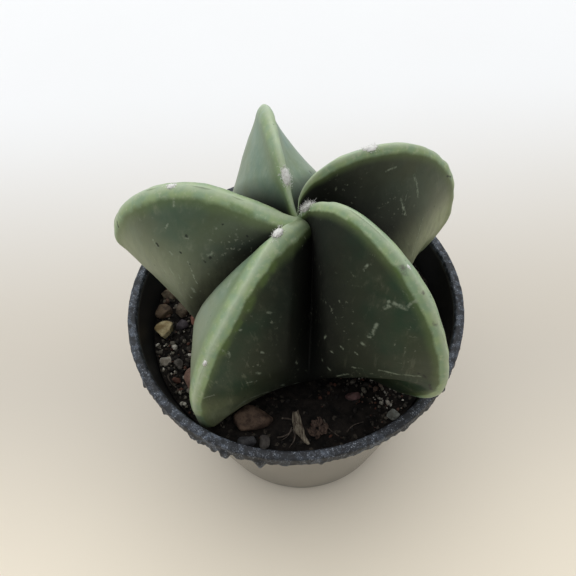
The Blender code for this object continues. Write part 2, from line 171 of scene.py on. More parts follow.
def tubesAlong(paths, radii, sides=5):
    # round tubes: at each point of a path, a circle square to the path; radii taper along it
    ahead = np.gradient(paths, axis=1)
    ahead = ahead / np.maximum(np.linalg.norm(ahead, axis=-1, keepdims=True), 1e-9)
    helper = np.where(np.abs(ahead[..., 2:]) > 0.8, np.array([1.0, 0, 0]), np.array([0, 0, 1.0]))
    aside = np.cross(ahead, helper)
    aside = aside / np.maximum(np.linalg.norm(aside, axis=-1, keepdims=True), 1e-9)
    over = np.cross(aside, ahead)
    turn = np.linspace(0, 2 * np.pi, sides, endpoint=False)
    circle = np.cos(turn)[:, None] * aside[..., None, :] + np.sin(turn)[:, None] * over[..., None, :]
    return paths[..., None, :] + circle * radii[..., None, None]


def smoothStep(low, high, value):
    part = np.clip((value - low) / (high - low), 0, 1)
    return part * part * (3 - 2 * part)


# shader maths written as Python

class Value:
    # one output of a node; arithmetic on it adds Math nodes
    def __init__(self, shader, socket):
        self.shader = shader
        self.socket = socket

    def maths(self, operation, *values):
        return self.shader.add("ShaderNodeMath", {"operation": operation}, dict(enumerate(values)))

    def __add__(self, other):
        return self.maths("ADD", self, other)

    def __radd__(self, other):
        return self.maths("ADD", other, self)

    def __sub__(self, other):
        return self.maths("SUBTRACT", self, other)

    def __rsub__(self, other):
        return self.maths("SUBTRACT", other, self)

    def __mul__(self, other):
        return self.maths("MULTIPLY", self, other)

    def __rmul__(self, other):
        return self.maths("MULTIPLY", other, self)

    def __truediv__(self, other):
        return self.maths("DIVIDE", self, other)

    def atLeast(self, other):
        return self.maths("MAXIMUM", self, other)

    def atMost(self, other):
        return self.maths("MINIMUM", self, other)

    def between(self, low, high, start=0.0, end=1.0):
        # start below low, end above high, a smooth step from one to the other
        return self.shader.add("ShaderNodeMapRange", {"interpolation_type": "SMOOTHSTEP"},
                               {0: self, 1: low, 2: high, 3: start, 4: end})


class Shader:
    def __init__(self, name, roughness=0.5, specular=0.5):
        self.material = bpy.data.materials.new(name)
        self.material.use_nodes = True
        self.tree = self.material.node_tree
        self.surface = self.tree.nodes["Principled BSDF"]
        self.surface.inputs["Roughness"].default_value = roughness
        self.surface.inputs["Specular IOR Level"].default_value = specular
        self.place = self.add("ShaderNodeTexCoord", {}, {}, "Object")

    def add(self, kind, settings, sockets, output=0):
        # any node: its settings first, then a value or a link for each socket
        node = self.tree.nodes.new(kind)
        for key, setting in settings.items():
            if key == "stops":
                while len(node.color_ramp.elements) < len(setting):
                    node.color_ramp.elements.new(0.5)
                for element, (position, colour) in zip(node.color_ramp.elements, setting):
                    element.position = position
                    element.color = (*colour, 1)
            else:
                setattr(node, key, setting)
        for key, given in sockets.items():
            if isinstance(given, Value):
                self.tree.links.new(given.socket, node.inputs[key])
            else:
                node.inputs[key].default_value = given
        return Value(self, node.outputs[output])

    def feed(self, socket, given):
        if isinstance(given, Value):
            self.tree.links.new(given.socket, self.surface.inputs[socket])
        else:
            self.surface.inputs[socket].default_value = given

    def stored(self, name):
        return self.add("ShaderNodeAttribute", {"attribute_name": name}, {}, "Fac")

    def noise(self, size, detail=3.0, roughness=0.55, at=None, distortion=0.0):
        # size is the width of one blotch in mm
        return self.add("ShaderNodeTexNoise", {}, {"Vector": at or self.place, "Scale": 1 / (size * mm),
                        "Detail": detail, "Roughness": roughness, "Distortion": distortion}, "Fac")

    def cells(self, size, output="Distance"):
        return self.add("ShaderNodeTexVoronoi", {},
                        {"Vector": self.place, "Scale": 1 / (size * mm)}, output)

    def stretched(self, x, y, z):
        return self.add("ShaderNodeMapping", {}, {"Vector": self.place, "Scale": (x, y, z)}, "Vector")

    def axis(self, number):
        # one coordinate of the place, in metres
        return self.add("ShaderNodeSeparateXYZ", {}, {0: self.place}, number)

    def mix(self, factor, low, high):
        low, high = (c if isinstance(c, Value) else (*c, 1) for c in (low, high))
        return self.add("ShaderNodeMix", {"data_type": "RGBA"}, {0: factor, 6: low, 7: high}, 2)

    def ramp(self, value, stops):
        return self.add("ShaderNodeValToRGB", {"stops": stops}, {0: value}, "Color")

    def stroke(self, start, end, width, wobble):
        # 1 on a line from start to end (mm) and 0 beyond its width, by the distance to the line
        a, b = start * mm, end * mm
        line = b - a
        off = self.add("ShaderNodeVectorMath", {"operation": "SUBTRACT"}, {0: self.place, 1: tuple(a)}, 0)
        along = self.add("ShaderNodeVectorMath", {"operation": "DOT_PRODUCT"},
                         {0: off, 1: tuple(line / max(line.length_squared, 1e-12))}, "Value")
        along = along.atLeast(0.0).atMost(1.0)
        near = self.add("ShaderNodeVectorMath", {"operation": "SCALE"}, {0: tuple(line), 3: along}, 0)
        apart = self.add("ShaderNodeVectorMath", {"operation": "DISTANCE"}, {0: off, 1: near}, "Value")
        return (apart + wobble).between(width * 0.1 * mm, width * 1.25 * mm, 1.0, 0.0)

    def bump(self, height, distance, strength=1.0):
        # height runs 0 to 1 and stands for distance mm
        sockets = {"Height": height, "Distance": distance * mm, "Strength": strength}
        self.feed("Normal", self.add("ShaderNodeBump", {}, sockets, "Normal"))


def shade(red, green, blue):
    # a colour as a screen shows it, 0 to 255, turned to linear light
    shown = np.array([red, green, blue]) / 255
    linear = np.where(shown <= 0.0404, shown / 12.92, ((shown + 0.055) / 1.055) ** 2.4)
    return tuple(float(c) for c in linear)


def dress(piece, material):
    piece.data.materials.clear()
    piece.data.materials.append(material)


def handOver(piece, slotName, *nodes):
    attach(piece, "root")
    if nodes:
        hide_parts(*nodes)


# the plant

plant = {
    "axis": (1.8, 0.2),      # where the plant stands in the pot
    "crown": 96.0,           # heights over the table
    "middle": 70.0,          # levels are slopes seen from this height on the axis
    "foot": 53.0,
    "flankColumns": 44,
    "upperLevels": 130,
    "underLevels": 44,
    "levelPowers": (0.9, 1.25),  # how levels crowd towards the crown and the fold
    "crowding": 0.45,        # share of the columns' spacing that grows away from the crest
    "swing": 2.5,            # within this distance a shifted crest or furrow comes back to the axis
    "swirlReach": 4.0,
    "roll": (0.35, 1.5, 0.8),  # the edge beside the crest: how far out, where, how wide
    "hollow": 3.0,           # how far the part under the fold draws in
    "slotRise": (1, 17),     # heights over a furrow's fold between which its slot deepens
    "heelRise": (18, 5),     # heights over a rib's fold between which its lower end turns pale
    "knobReach": 10.0,
    "waves": [(0.22, 11.0, 3), (0.07, 3.2, 9)],  # dents in the skin: height, width, seed
    "beads": (0.16, 2.6, 5, 2.2),  # bumps along the crest: height, length, seed, half width
    "root": [(1.6, 10.0), (4.0, 7.5), (8.5, 5.5), (12.5, 3.5)],  # below the foot, radius
    # azimuth, top and reach of the crest (distance, height), foot radius, height of the fold under
    # the flanks, the three curve powers, bulge of both flanks, how far the fold arches up, the
    # crest's rounding, its bow to one side, its shift and swirl at the crown, the width of the pale
    # band, and for both flanks: how much wider it is at the crown, how pale the flank is (partly its
    # own tone, partly painted light), how far painted shade reaches from the furrow, how brown it is
    # and how pale its lower end is (partly a painted highlight), with its reach
    "ribs": [
        dict(azimuth=20, top=(13, 108.4), reach=(41.8, 77.5), foot=18, fold=72,
             rise=0.30, bow=2.12, curl=1.55, flanks=(-1.4, 0.0), arch=(4.0, 3.0), round=1.4,
             lean=0.0, shift=1.0, swirl=0.0, band=1.9, knob=(0.0, 0.0), pale=(0.18, 0.5),
             gloom=(0.7, 0.1), brown=(0.9, 0.3), heel=(0.75, 0.0, 26)),
        dict(azimuth=98, top=(14, 106.0), reach=(43.3, 78.0), foot=18, fold=70,
             rise=0.80, bow=2.10, curl=1.70, flanks=(-2.6, 0.0), arch=(3.0, 3.0), round=1.3,
             lean=0.6, shift=1.0, swirl=0.0, band=2.8, knob=(0.0, 0.0), pale=(0.92, 0.88),
             gloom=(0.1, 0.05), brown=(0.0, 0.0), heel=(0.0, 0.0, 9)),
        dict(azimuth=164, top=(21.5, 102.0), reach=(46.2, 79.5), foot=17, fold=76,
             rise=1.40, bow=1.78, curl=1.15, flanks=(0.0, 0.5), arch=(3.0, 4.0), round=1.9,
             lean=0.0, shift=1.0, swirl=0.0, band=2.9, knob=(0.0, 0.0), pale=(0.6, 0.2),
             gloom=(0.1, 0.3), brown=(0.2, 0.4), heel=(0.0, 0.4, 24)),
        dict(azimuth=231, top=(7.5, 99.4), reach=(40.4, 69.0), foot=26, fold=57,
             rise=1.00, bow=1.58, curl=4.40, flanks=(1.0, 0.3), arch=(1.0, 4.9), round=1.7,
             lean=1.6, shift=-0.5, swirl=3.0, band=2.2, knob=(0.0, 3.0), pale=(0.8, 0.0),
             gloom=(0.15, 0.7), brown=(0.0, 0.3), heel=(0.0, 1.0, 11)),
        dict(azimuth=309, top=(16, 108.0), reach=(44.0, 77.0), foot=20, fold=79.5,
             rise=0.65, bow=2.08, curl=1.66, flanks=(1.2, 0.0), arch=(5.0, 3.0), round=1.5,
             lean=1.0, shift=1.0, swirl=1.5, band=2.1, knob=(0.0, 0.0), pale=(0.0, 0.5),
             gloom=(1.0, 0.2), brown=(0.1, 0.2), heel=(0.0, 0.0, 9)),
    ],
    # the furrow after each rib: reach, foot radius, fold, powers, turn off the middle, shift, and
    # the depth and half width of the slot in it
    "furrows": [
        dict(reach=(25, 76), foot=13, fold=60, bow=1.6, curl=2.0, turn=0, shift=1.0, slot=3.0, open=2.0),
        dict(reach=(26, 76), foot=13, fold=60, bow=1.5, curl=2.0, turn=0, shift=1.0, slot=3.0, open=2.0),
        dict(reach=(27, 76), foot=13, fold=60, bow=1.5, curl=1.8, turn=0, shift=3.2, slot=4.0, open=2.0),
        dict(reach=(23, 71), foot=12, fold=62, bow=1.6, curl=2.4, turn=-8, shift=3.6, slot=11.0, open=2.7),
        dict(reach=(24, 74), foot=13, fold=60, bow=1.6, curl=2.0, turn=0, shift=1.0, slot=4.0, open=2.0),
    ],
}


def quarterArc(levelEnd, uprightEnd, power, steps=500):
    # a quarter superellipse, level at one end and upright at the other
    (r0, z0), (r1, z1) = levelEnd, uprightEnd
    turn = np.linspace(0, np.pi / 2, steps)
    r = r0 + (r1 - r0) * np.sin(turn) ** (2 / power)
    z = z1 + (z0 - z1) * np.cos(turn) ** (2 / power)
    return r, z


def ribOutline(rib):
    # distance from the axis and height along a crest or furrow: a rise from the crown (crests
    # only), an arc out and an arc back in
    crown = plant["crown"]
    top = rib.get("top", (0.0, crown))
    part = np.linspace(0, 1, 500) if "top" in rib else np.zeros(1)
    riseR = top[0] * part
    riseZ = crown + (top[1] - crown) * np.sin(np.pi / 2 * part) ** rib.get("rise", 1.0)
    outR, outZ = quarterArc(top, rib["reach"], rib["bow"])
    underR, underZ = quarterArc((rib["foot"], plant["foot"]), rib["reach"], rib["curl"])
    r = np.concatenate([riseR, outR[1:], underR[::-1][1:]])
    z = np.concatenate([riseZ, outZ[1:], underZ[::-1][1:]])
    return r, z


def levelShares():
    # shares of the way down to the fold and from the fold to the foot
    counts = plant["upperLevels"], plant["underLevels"]
    return [(np.arange(1, n + 1) / n) ** power for n, power in zip(counts, plant["levelPowers"])]


def atLevels(rib):
    # the outline at even steps of slope, seen from the plant's middle: upright to the fold, which
    # lies in the part that slopes less than 60 degrees, then to the foot
    r, z = ribOutline(rib)
    slope = np.minimum.accumulate(np.arctan2(z - plant["middle"], np.maximum(r, 1e-9)))
    outer = slope < np.pi / 3
    foldSlope = np.interp(-rib["fold"], -z[outer], slope[outer])
    down, under = levelShares()
    upper = np.pi / 2 + (foldSlope - np.pi / 2) * down
    lower = foldSlope + (slope[-1] - foldSlope) * under
    wanted = np.concatenate([upper, lower])
    return np.interp(-wanted, -slope, r), np.interp(-wanted, -slope, z)


def furrowAzimuth(index):
    ribs = plant["ribs"]
    here, after = ribs[index]["azimuth"], ribs[(index + 1) % len(ribs)]["azimuth"]
    if after < here:
        after += 360
    return math.radians((here + after) / 2 + plant["furrows"][index]["turn"])


def crestAside(rib, r):
    # how far the crest stands to one side of the rib's middle plane
    swirl = rib["swirl"] * np.exp(-r / plant["swirlReach"])
    turned = (rib["shift"] + swirl) * (1 - np.exp(-r / plant["swing"]))
    return turned + rib["lean"] * np.sin(np.pi * np.clip(r / rib["reach"][0], 0, 1))


def plantSurface():
    # each cross line of a flank runs from crest to furrow as a hyperbola, rounded on the crest and
    # straight down the flank; the fold at the flank's lower edge arches up, the part under it draws
    # in hollow, and next to a furrow both flanks sink into a slot
    ribs, furrows = plant["ribs"], plant["furrows"]
    step = np.linspace(0, 1, plant["flankColumns"] + 1)
    share = plant["crowding"] * step**1.5 + (1 - plant["crowding"]) * (1 - np.cos(np.pi * step)) / 2
    down, under = levelShares()
    below = np.concatenate([np.zeros_like(down), under])[:, None]
    hollow = 1 + plant["hollow"] * smoothStep(0, 0.3, below) * (1 - below) ** 0.6
    lift = np.concatenate([down**3, (1 - under) ** 2])[:, None]
    rollOut, rollAt, rollWide = plant["roll"]
    strips = {}
    for number, rib in enumerate(ribs):
        crestR, crestZ = atLevels(rib)
        azimuth = math.radians(rib["azimuth"])
        out = np.array([math.cos(azimuth), math.sin(azimuth)])
        side = np.array([-out[1], out[0]])
        crestSide = crestAside(rib, crestR)
        along = np.concatenate([[0], np.cumsum(np.hypot(np.diff(crestR), np.diff(crestZ)))])
        for flank, way, f in ((0, -1, number - 1), (1, 1, number)):
            furrow = furrows[f]
            furrowR, furrowZ = atLevels(furrow)
            turn = furrowAzimuth(f % len(ribs))
            furrowWay = np.array([math.cos(turn), math.sin(turn)])
            shift = furrow["shift"] * (1 - np.exp(-furrowR / plant["swing"]))
            across = np.array([-furrowWay[1], furrowWay[0]])
            place = furrowR[:, None] * furrowWay + shift[:, None] * across
            furrowOut, furrowSide = place @ out, place @ side
            width = np.abs(furrowSide - crestSide)[:, None]
            gap = width * (1 - share)
            soft = np.minimum(rib["round"] / np.maximum(width, 1e-6), 2.0)
            fall = (np.sqrt(share**2 + soft**2) - soft) / (np.sqrt(1 + soft**2) - soft)
            hump = 4 * fall * (1 - fall)
            bulge = rib["flanks"][flank] * hump * np.minimum(width / 8, 1)
            roll = np.exp(-((share * width - rollAt) / rollWide) ** 2) * smoothStep(2, 6, width)
            bulge = bulge + rollOut * roll
            draw = 1 - (1 - fall) ** hollow
            reach = crestR[:, None] + (furrowOut - crestR)[:, None] * draw
            across = crestSide[:, None] + (furrowSide - crestSide)[:, None] * share
            across = across + bulge * (1 - below) * way
            height = crestZ[:, None] + (furrowZ - crestZ)[:, None] * fall
            height = height + rib["arch"][flank] * lift * hump
            half = np.minimum(furrow["open"], 0.75 * width)
            start, full = (furrow["fold"] + rise for rise in plant["slotRise"])
            depth = np.minimum(furrow["slot"], 0.55 * furrowR) * smoothStep(start, full, furrowZ)
            sink = depth[:, None] * (1 - np.clip(gap / np.maximum(half, 1e-6), 0, 1)) ** 1.2
            flat = reach[..., None] * out + across[..., None] * side - sink[..., None] * furrowWay
            grid = np.concatenate([flat, height[..., None]], axis=-1)
            steps = np.linalg.norm(np.diff(grid, axis=1), axis=-1)
            fromCrest = np.concatenate([np.zeros((len(grid), 1)), np.cumsum(steps, axis=1)], axis=1)
            knob = rib["knob"][flank] * np.exp(-(crestR[:, None] / plant["knobReach"]) ** 2)
            start, full = (rib["fold"] + rise for rise in plant["heelRise"])
            heel = rib["heel"][flank] * smoothStep(start, full, height)
            found = {
                "grid": grid, "away": fromCrest, "along": along[:, None],
                "who": number * 2 + flank, "furrowGap": gap,
                "fromCrest": fromCrest / (rib["band"] * (1 + knob)),
                "heel": heel * np.exp(-(fromCrest / rib["heel"][2]) ** 2),
                "paleness": rib["pale"][flank], "gloom": rib["gloom"][flank],
                "brown": rib["brown"][flank],
            }
            # both flanks of a rib share its crest, so one strip leaves out its last column
            pick = slice(None, 0, -1) if way < 0 else slice(None, -1)
            for name, values in found.items():
                whole = grid if name == "grid" else np.broadcast_to(values, fromCrest.shape)
                strips.setdefault(name, []).append(whole[:, pick])
    return {name: np.concatenate(parts, axis=1) for name, parts in strips.items()}


def crestAt(number, distance):
    # a place on a rib's crest, the way along it and the way out of the skin
    rib = plant["ribs"][number]
    r, z = ribOutline(rib)
    upper = slice(0, int(np.argmax(r)) + 1)
    azimuth = math.radians(rib["azimuth"])
    out = Vector((math.cos(azimuth), math.sin(azimuth), 0))
    side = Vector((-math.sin(azimuth), math.cos(azimuth), 0))

    def at(d):
        height = float(np.interp(d, r[upper], z[upper]))
        return out * d + side * float(crestAside(rib, d)) + Vector((*plant["axis"], height))

    here = at(distance)
    ahead = (at(distance + 0.4) - here).normalized()
    return here, ahead, side.cross(ahead).normalized() * -1


def buildPlant():
    skin = plantSurface()
    grid, gap = skin["grid"], skin["furrowGap"]
    angles = np.arctan2(grid[-1, :, 1], grid[-1, :, 0])
    circle = np.stack([np.cos(angles), np.sin(angles), np.zeros_like(angles)], axis=-1)
    rootRings = [circle * radius + [0, 0, plant["foot"] - depth] for depth, radius in plant["root"]]
    # soft waves and dents over the skin, none at the crown, in the soil and beside a furrow
    fromAxis = np.hypot(grid[..., 0], grid[..., 1])
    calm = smoothStep(1.5, 9, fromAxis) * smoothStep(54, 60, grid[..., 2]) * smoothStep(0.2, 3.0, gap)
    bumps = sum(tall * layeredNoise(grid, wide, 2, seed) for tall, wide, seed in plant["waves"])
    tall, long, seed, half = plant["beads"]
    along = np.stack([skin["along"], skin["who"] * 7, skin["along"] * 0], axis=-1)
    beads = tall * valueNoise(along, long, seed) * np.exp(-(skin["away"] / half) ** 2)
    grid = grid + gridNormals(grid) * ((bumps + beads) * calm)[..., None]
    rows = len(grid)
    grid = np.concatenate([grid, np.array(rootRings)])
    grid[..., :2] += plant["axis"]
    values = {}
    for name in ("fromCrest", "furrowGap", "heel", "paleness", "gloom", "brown"):
        inSoil = np.repeat(skin[name][-1:], len(rootRings), axis=0)
        values[name] = np.concatenate([skin[name], inSoil])
    crown, tip = (*plant["axis"], plant["crown"]), (*plant["axis"], grid[-1, 0, 2])
    body = closedBody("cactusBody", grid, crown, tip, values)
    surface = BVHTree.FromPolygons(grid.reshape(-1, 3).tolist(), tubeFaces(*grid.shape[:2]).tolist())
    dress(body, skinMaterial(surface))
    handOver(body, "cactus_skin", "cactus")
    print("plant", rows, "levels", grid.shape[1], "columns")


# marks on the skin by kind, as strokes where the photograph shows them: from and to in its
# pixels, half width in mm
marks = {
    "scratch": [
        ((385, 307.5), (394, 303.5), 0.42), ((394, 303.5), (406, 309), 0.38),
        ((406, 309), (411, 303.5), 0.34), ((411, 303.5), (416, 301), 0.3),
        ((388, 306), (389, 302), 0.28), ((364, 270), (367.6, 265.6), 0.26),
        ((377, 324), (373, 333), 0.36), ((373, 333), (369, 336.5), 0.4),
        ((362, 343.5), (364.6, 345), 0.34), ((324, 338), (326.4, 336), 0.26),
        ((322, 360), (322.6, 360.4), 0.3), ((328, 368), (330, 370), 0.3),
        ((337, 376), (348, 374), 0.24), ((352, 367), (355, 367.6), 0.24),
        ((386, 372), (402, 375), 0.24), ((402, 374.4), (420, 376.2), 0.24),
        ((379, 370), (394, 373), 0.2), ((341, 347), (343, 349), 0.26), ((355, 352), (357, 354), 0.24),
        ((332, 352), (333, 353), 0.24), ((413.6, 175), (417, 185), 0.26),
        ((417, 185), (418, 197), 0.22), ((401, 199), (404, 210), 0.28), ((404, 210), (405, 213), 0.34),
        ((386, 171), (396, 167), 0.2), ((424, 215), (412, 256), 0.15), ((408, 190), (402, 214), 0.12),
        ((174, 198), (173.6, 206), 0.24), ((139.6, 219), (140, 220), 0.34),
        ((184, 237), (188, 238.4), 0.34), ((208, 256), (211, 254.6), 0.3),
        ((153, 240), (158, 247), 0.3), ((215, 228), (216, 228.4), 0.26), ((160, 264), (182, 296), 0.16),
        ((166, 262), (190, 300), 0.14), ((178, 274), (192, 298), 0.18), ((192, 288), (195, 292), 0.34),
        ((150, 252), (168, 278), 0.15), ((188, 262), (197, 284), 0.14), ((170, 252), (173, 256), 0.2),
        ((166, 228), (168, 224), 0.2), ((230, 282), (228, 286.5), 0.34), ((208, 320), (206, 325), 0.34),
        ((226, 300), (224.6, 302), 0.24), ((216, 306), (217, 308), 0.24),
        ((201, 350), (202, 354), 0.26), ((268, 312), (270.6, 313.4), 0.3),
        ((257, 373), (259.4, 373.4), 0.34), ((282, 385), (283.6, 385.4), 0.34),
        ((296, 362), (298, 363), 0.3), ((222, 350), (228, 352), 0.22), ((228, 352), (230, 357), 0.2),
        ((204, 398), (214, 395), 0.22), ((262, 352), (263, 353), 0.24), ((247, 383), (256, 381), 0.18),
        ((240, 330), (241, 331), 0.22), ((278, 157.6), (279, 161), 0.2),
        ((300, 383), (281, 387.6), 0.2), ((281, 387.6), (262, 393.6), 0.2),
        ((262, 393.6), (247, 399.6), 0.22), ((247, 399.6), (236, 407.6), 0.22),
        ((236, 407.6), (227, 416), 0.2), ((432, 243), (426, 248.6), 0.2),
        ((426, 248.6), (420, 254), 0.2), ((269, 150), (266, 170), 0.12), ((256, 168), (254, 174), 0.14),
    ],
    "spot": [
        ((186, 236), (187, 237), 0.3), ((157, 244), (158, 245.6), 0.34),
        ((210, 257.6), (210.6, 258), 0.34), ((204, 261), (205, 262), 0.24),
        ((424, 375.6), (425, 377), 0.34), ((430, 385), (430.6, 389), 0.34),
        ((310, 171.6), (310.4, 172), 0.4), ((180, 252), (180.6, 252.6), 0.22),
        ((447, 176), (451, 177), 0.24), ((117, 221), (118.4, 227), 0.26),
        ((418, 373), (419, 374), 0.22), ((247, 236), (247.4, 236.4), 0.22),
        ((222, 224), (222.6, 224.4), 0.22), ((344, 285), (344.6, 285.6), 0.2),
    ],
    "scar": [
        ((402, 268), (405.6, 273), 0.62), ((434, 323), (436, 324), 0.4), ((423, 292), (424, 293), 0.3),
    ],
    "green": [
        ((274, 264), (272, 269), 0.8), ((266, 277), (262, 284), 0.7), ((252, 300), (248, 309), 0.9),
        ((240, 322), (236, 330), 0.6), ((227, 343), (223, 352), 0.9), ((290, 223), (300, 219), 0.8),
        ((349, 221), (358, 228), 0.5), ((396, 268), (400, 275), 0.5), ((232, 205), (252, 214), 0.6),
    ],
}


def onSkin(surface, x, y):
    # the place on the skin under a pixel of the photograph, or just beside it at an outline
    half = studio["photo"] / 2
    scale = studio["sensor"] / studio["lens"] / studio["photo"]
    for aside in (0, 0.8, 2, 4):
        for dx, dy in ((0, aside), (0, -aside), (aside, 0), (-aside, 0)):
            way = cameraTurn() @ Vector(((x + dx - half) * scale, (half - y - dy) * scale, -1))
            place = surface.ray_cast(Vector(studio["eye"]), way)[0]
            if place:
                return place


def skinMaterial(surface):
    skin = Shader("cactusSkin", roughness=0.5, specular=0.25)
    crest, away, light = skin.stored("fromCrest"), skin.stored("furrowGap"), skin.stored("paleness")
    gloom = skin.stored("gloom")
    height = skin.axis(2)
    broad, cloud, grain = skin.noise(13, 3), skin.noise(4.5, 5, 0.6), skin.noise(0.9, 3)
    # each flank mixes a dark and a fair copy of the skin by its paleness, partly the skin's own tone and
    # partly painted light: fair on flanks that face the lamps, dark on those turned to the front; the
    # clouds and bloom are paler on lit flanks too
    dark = skin.mix(broad.between(0.36, 0.6), shade(34, 66, 44), shade(56, 68, 45))
    fair = skin.mix(broad.between(0.36, 0.62), shade(112, 140, 122), shade(118, 138, 104))
    dark = skin.mix(skin.stored("brown") * 0.8, dark, shade(64, 62, 50))
    deep = skin.mix(light, dark, fair)
    cloudy = skin.mix(light, shade(66, 74, 56), shade(142, 160, 138))
    deep = skin.mix(cloud.between(0.35, 0.7) * 0.4, deep, cloudy)
    # a waxy bloom in clouds, broken by streaks that run down the flank
    streaks = skin.noise(1.3, 4, 0.62, at=skin.stretched(1.0, 1.0, 0.13))
    bloom = skin.noise(6, 5, 0.65, distortion=0.8).between(0.47, 0.72) * streaks.between(0.36, 0.7)
    waxy = skin.mix(light, shade(100, 104, 84), shade(166, 178, 160))
    body = skin.mix(bloom * 0.62, deep, waxy)
    lines = streaks.between(0.58, 0.68) * height.between(68 * mm, 92 * mm, 1.0, 0.25)
    body = skin.mix(lines * 0.42, body, shade(140, 144, 120))
    # dust has settled low on the flanks that aren't the darkest
    settled = height.between(78 * mm, 100 * mm, 1.0, 0.0) * (light * 6).atMost(1.0)
    body = skin.mix(settled * 0.65, body, shade(136, 142, 120))
    # painted shade: near a furrow the skin is darkened to near-black, most in the slot between the two
    # front ribs
    uneven = away + (skin.noise(5, 3) - 0.5) * 3 * gloom
    shadow = (uneven / (gloom * 16 + 1.5)).between(0.0, 1.0, 1.0, 0.0)
    body = skin.mix(shadow, body, shade(6, 8, 4))
    # the lower ends of the front ribs are paler and streaked, partly pale skin and partly a painted
    # highlight
    ripple = skin.noise(1.6, 4, 0.62, at=skin.stretched(1.0, 1.0, 0.3)).between(0.3, 0.62, 0.6, 1.0)
    body = skin.mix(skin.stored("heel") * ripple, body, shade(172, 180, 140))
    # the crest is paler and yellower, its inner edge uneven and soft where the crest is broad
    edge = crest + (skin.noise(3.0, 3) - 0.5) * 0.5 + (skin.noise(9.0, 2) - 0.5) * 0.5
    halo = edge.between(0.7, light * 0.8 + 2.1, 1.0, 0.0)
    body = skin.mix(halo * 0.55, body, shade(104, 122, 74))
    mottle = skin.noise(3.2, 4, 0.6)
    pale = skin.mix(mottle.between(0.38, 0.62), shade(150, 170, 124), shade(138, 162, 130))
    pale = skin.mix(skin.noise(1.1, 3, 0.6).between(0.52, 0.7) * 0.5, pale, shade(182, 190, 160))
    # painted highlight: a lighter line along the very top of the crest
    pale = skin.mix((crest + (mottle - 0.5) * 0.5).between(0.0, 0.62, 0.5, 0.0), pale, shade(196, 206, 182))
    band = edge.between(light * -0.4 + 0.74, light * 0.6 + 1.12, 1.0, 0.0)
    colour = skin.mix(band * 0.86, body, pale)
    # whitish flecks and dust, thin over the whole skin and denser low down, and a few dark pricks
    low = height.between(60 * mm, 98 * mm, 1.0, 0.4)
    specks = skin.cells(1.3).between(0.05, 0.12, 1.0, 0.0) * skin.noise(4, 2).between(0.5, 0.62) * low
    dust = grain.between(0.60, 0.72) * skin.noise(8, 3).between(0.5, 0.65) * 0.5
    colour = skin.mix(specks * 0.24 + dust * (1 - band) * 0.7, colour, shade(150, 156, 136))
    pricks = skin.cells(3.7).between(0.045, 0.09, 1.0, 0.0) * skin.noise(5.5, 2).between(0.5, 0.6)
    colour = skin.mix(pricks * 0.7, colour, shade(40, 46, 34))
    wobble = (skin.noise(0.6, 3) - 0.5) * (0.95 * mm)
    masks = {}
    for kind, strokes in marks.items():
        for start, end, width in strokes:
            start, end = onSkin(surface, *start), onSkin(surface, *end)
            line = skin.stroke(start, end, 1.3 * width, wobble)
            masks[kind] = masks[kind].atLeast(line) if kind in masks else line
    colour = skin.mix(masks["green"] * 0.5, colour, shade(84, 106, 52))
    colour = skin.mix(masks["scratch"] * grain.between(0.3, 0.6) * 0.5, colour, shade(152, 162, 142))
    colour = skin.mix(masks["spot"] * 0.9, colour, shade(26, 30, 24))
    colour = skin.mix(masks["scar"] * grain.between(0.35, 0.6) * 0.75, colour, shade(96, 88, 84))
    skin.feed("Base Color", colour)
    skin.feed("Roughness", 0.42 + bloom * 0.2 + masks["scratch"] * 0.25 + shadow * 0.3)
    relief = grain * 0.25 + cloud * 0.5 + masks["scratch"] * 0.3 + streaks * 0.35
    skin.bump(relief, 0.18, 0.6)
    return skin.material


# wool on the areoles

wool = {
    # rib, distance from the axis, half length along the crest, half width, hairs, hair length
    "tufts": [
        (0, 17.2, 2.1, 0.8, 260, 0.6), (1, 5.8, 2.1, 0.9, 380, 0.9), (2, 27.5, 1.5, 0.9, 240, 0.6),
        (3, 8.0, 1.6, 1.0, 300, 0.7), (3, 34.3, 0.8, 0.5, 90, 0.45), (4, 1.9, 1.9, 1.1, 460, 1.2),
        (4, 29.0, 0.8, 0.35, 40, 0.3),
    ],
    "hairRadius": 0.055,
    "hairPoints": 5,
    "hairSides": 3,
    "scatter": 0.45,         # of roots over the oval
    "sunk": (0.25, 0.35),    # how deep the roots sit, and how much deeper at the oval's edge
    "lean": 0.75,
    "curl": 0.32,
    "lengths": (0.5, 1.15),  # shares of the hair length
    "widths": (0.7, 1.3),
    "seed": 11,
    # the felt: rings, columns, roughness, shares of the oval's length and width, least thickness
    "felt": (14, 22, 0.28, 0.85, 0.8, 0.25),
}


def ball(rings, columns, pole, twist=0.0):
    # points of a unit ball in rings from its top, the first ring at the angle pole from it
    polar = np.linspace(pole, np.pi - pole, rings)[:, None]
    turn = np.linspace(0, 2 * np.pi, columns, endpoint=False)[None] + twist * polar
    x, y = np.sin(polar) * np.cos(turn), np.sin(polar) * np.sin(turn)
    return np.stack([x, y, np.cos(polar) + 0 * turn], axis=-1)


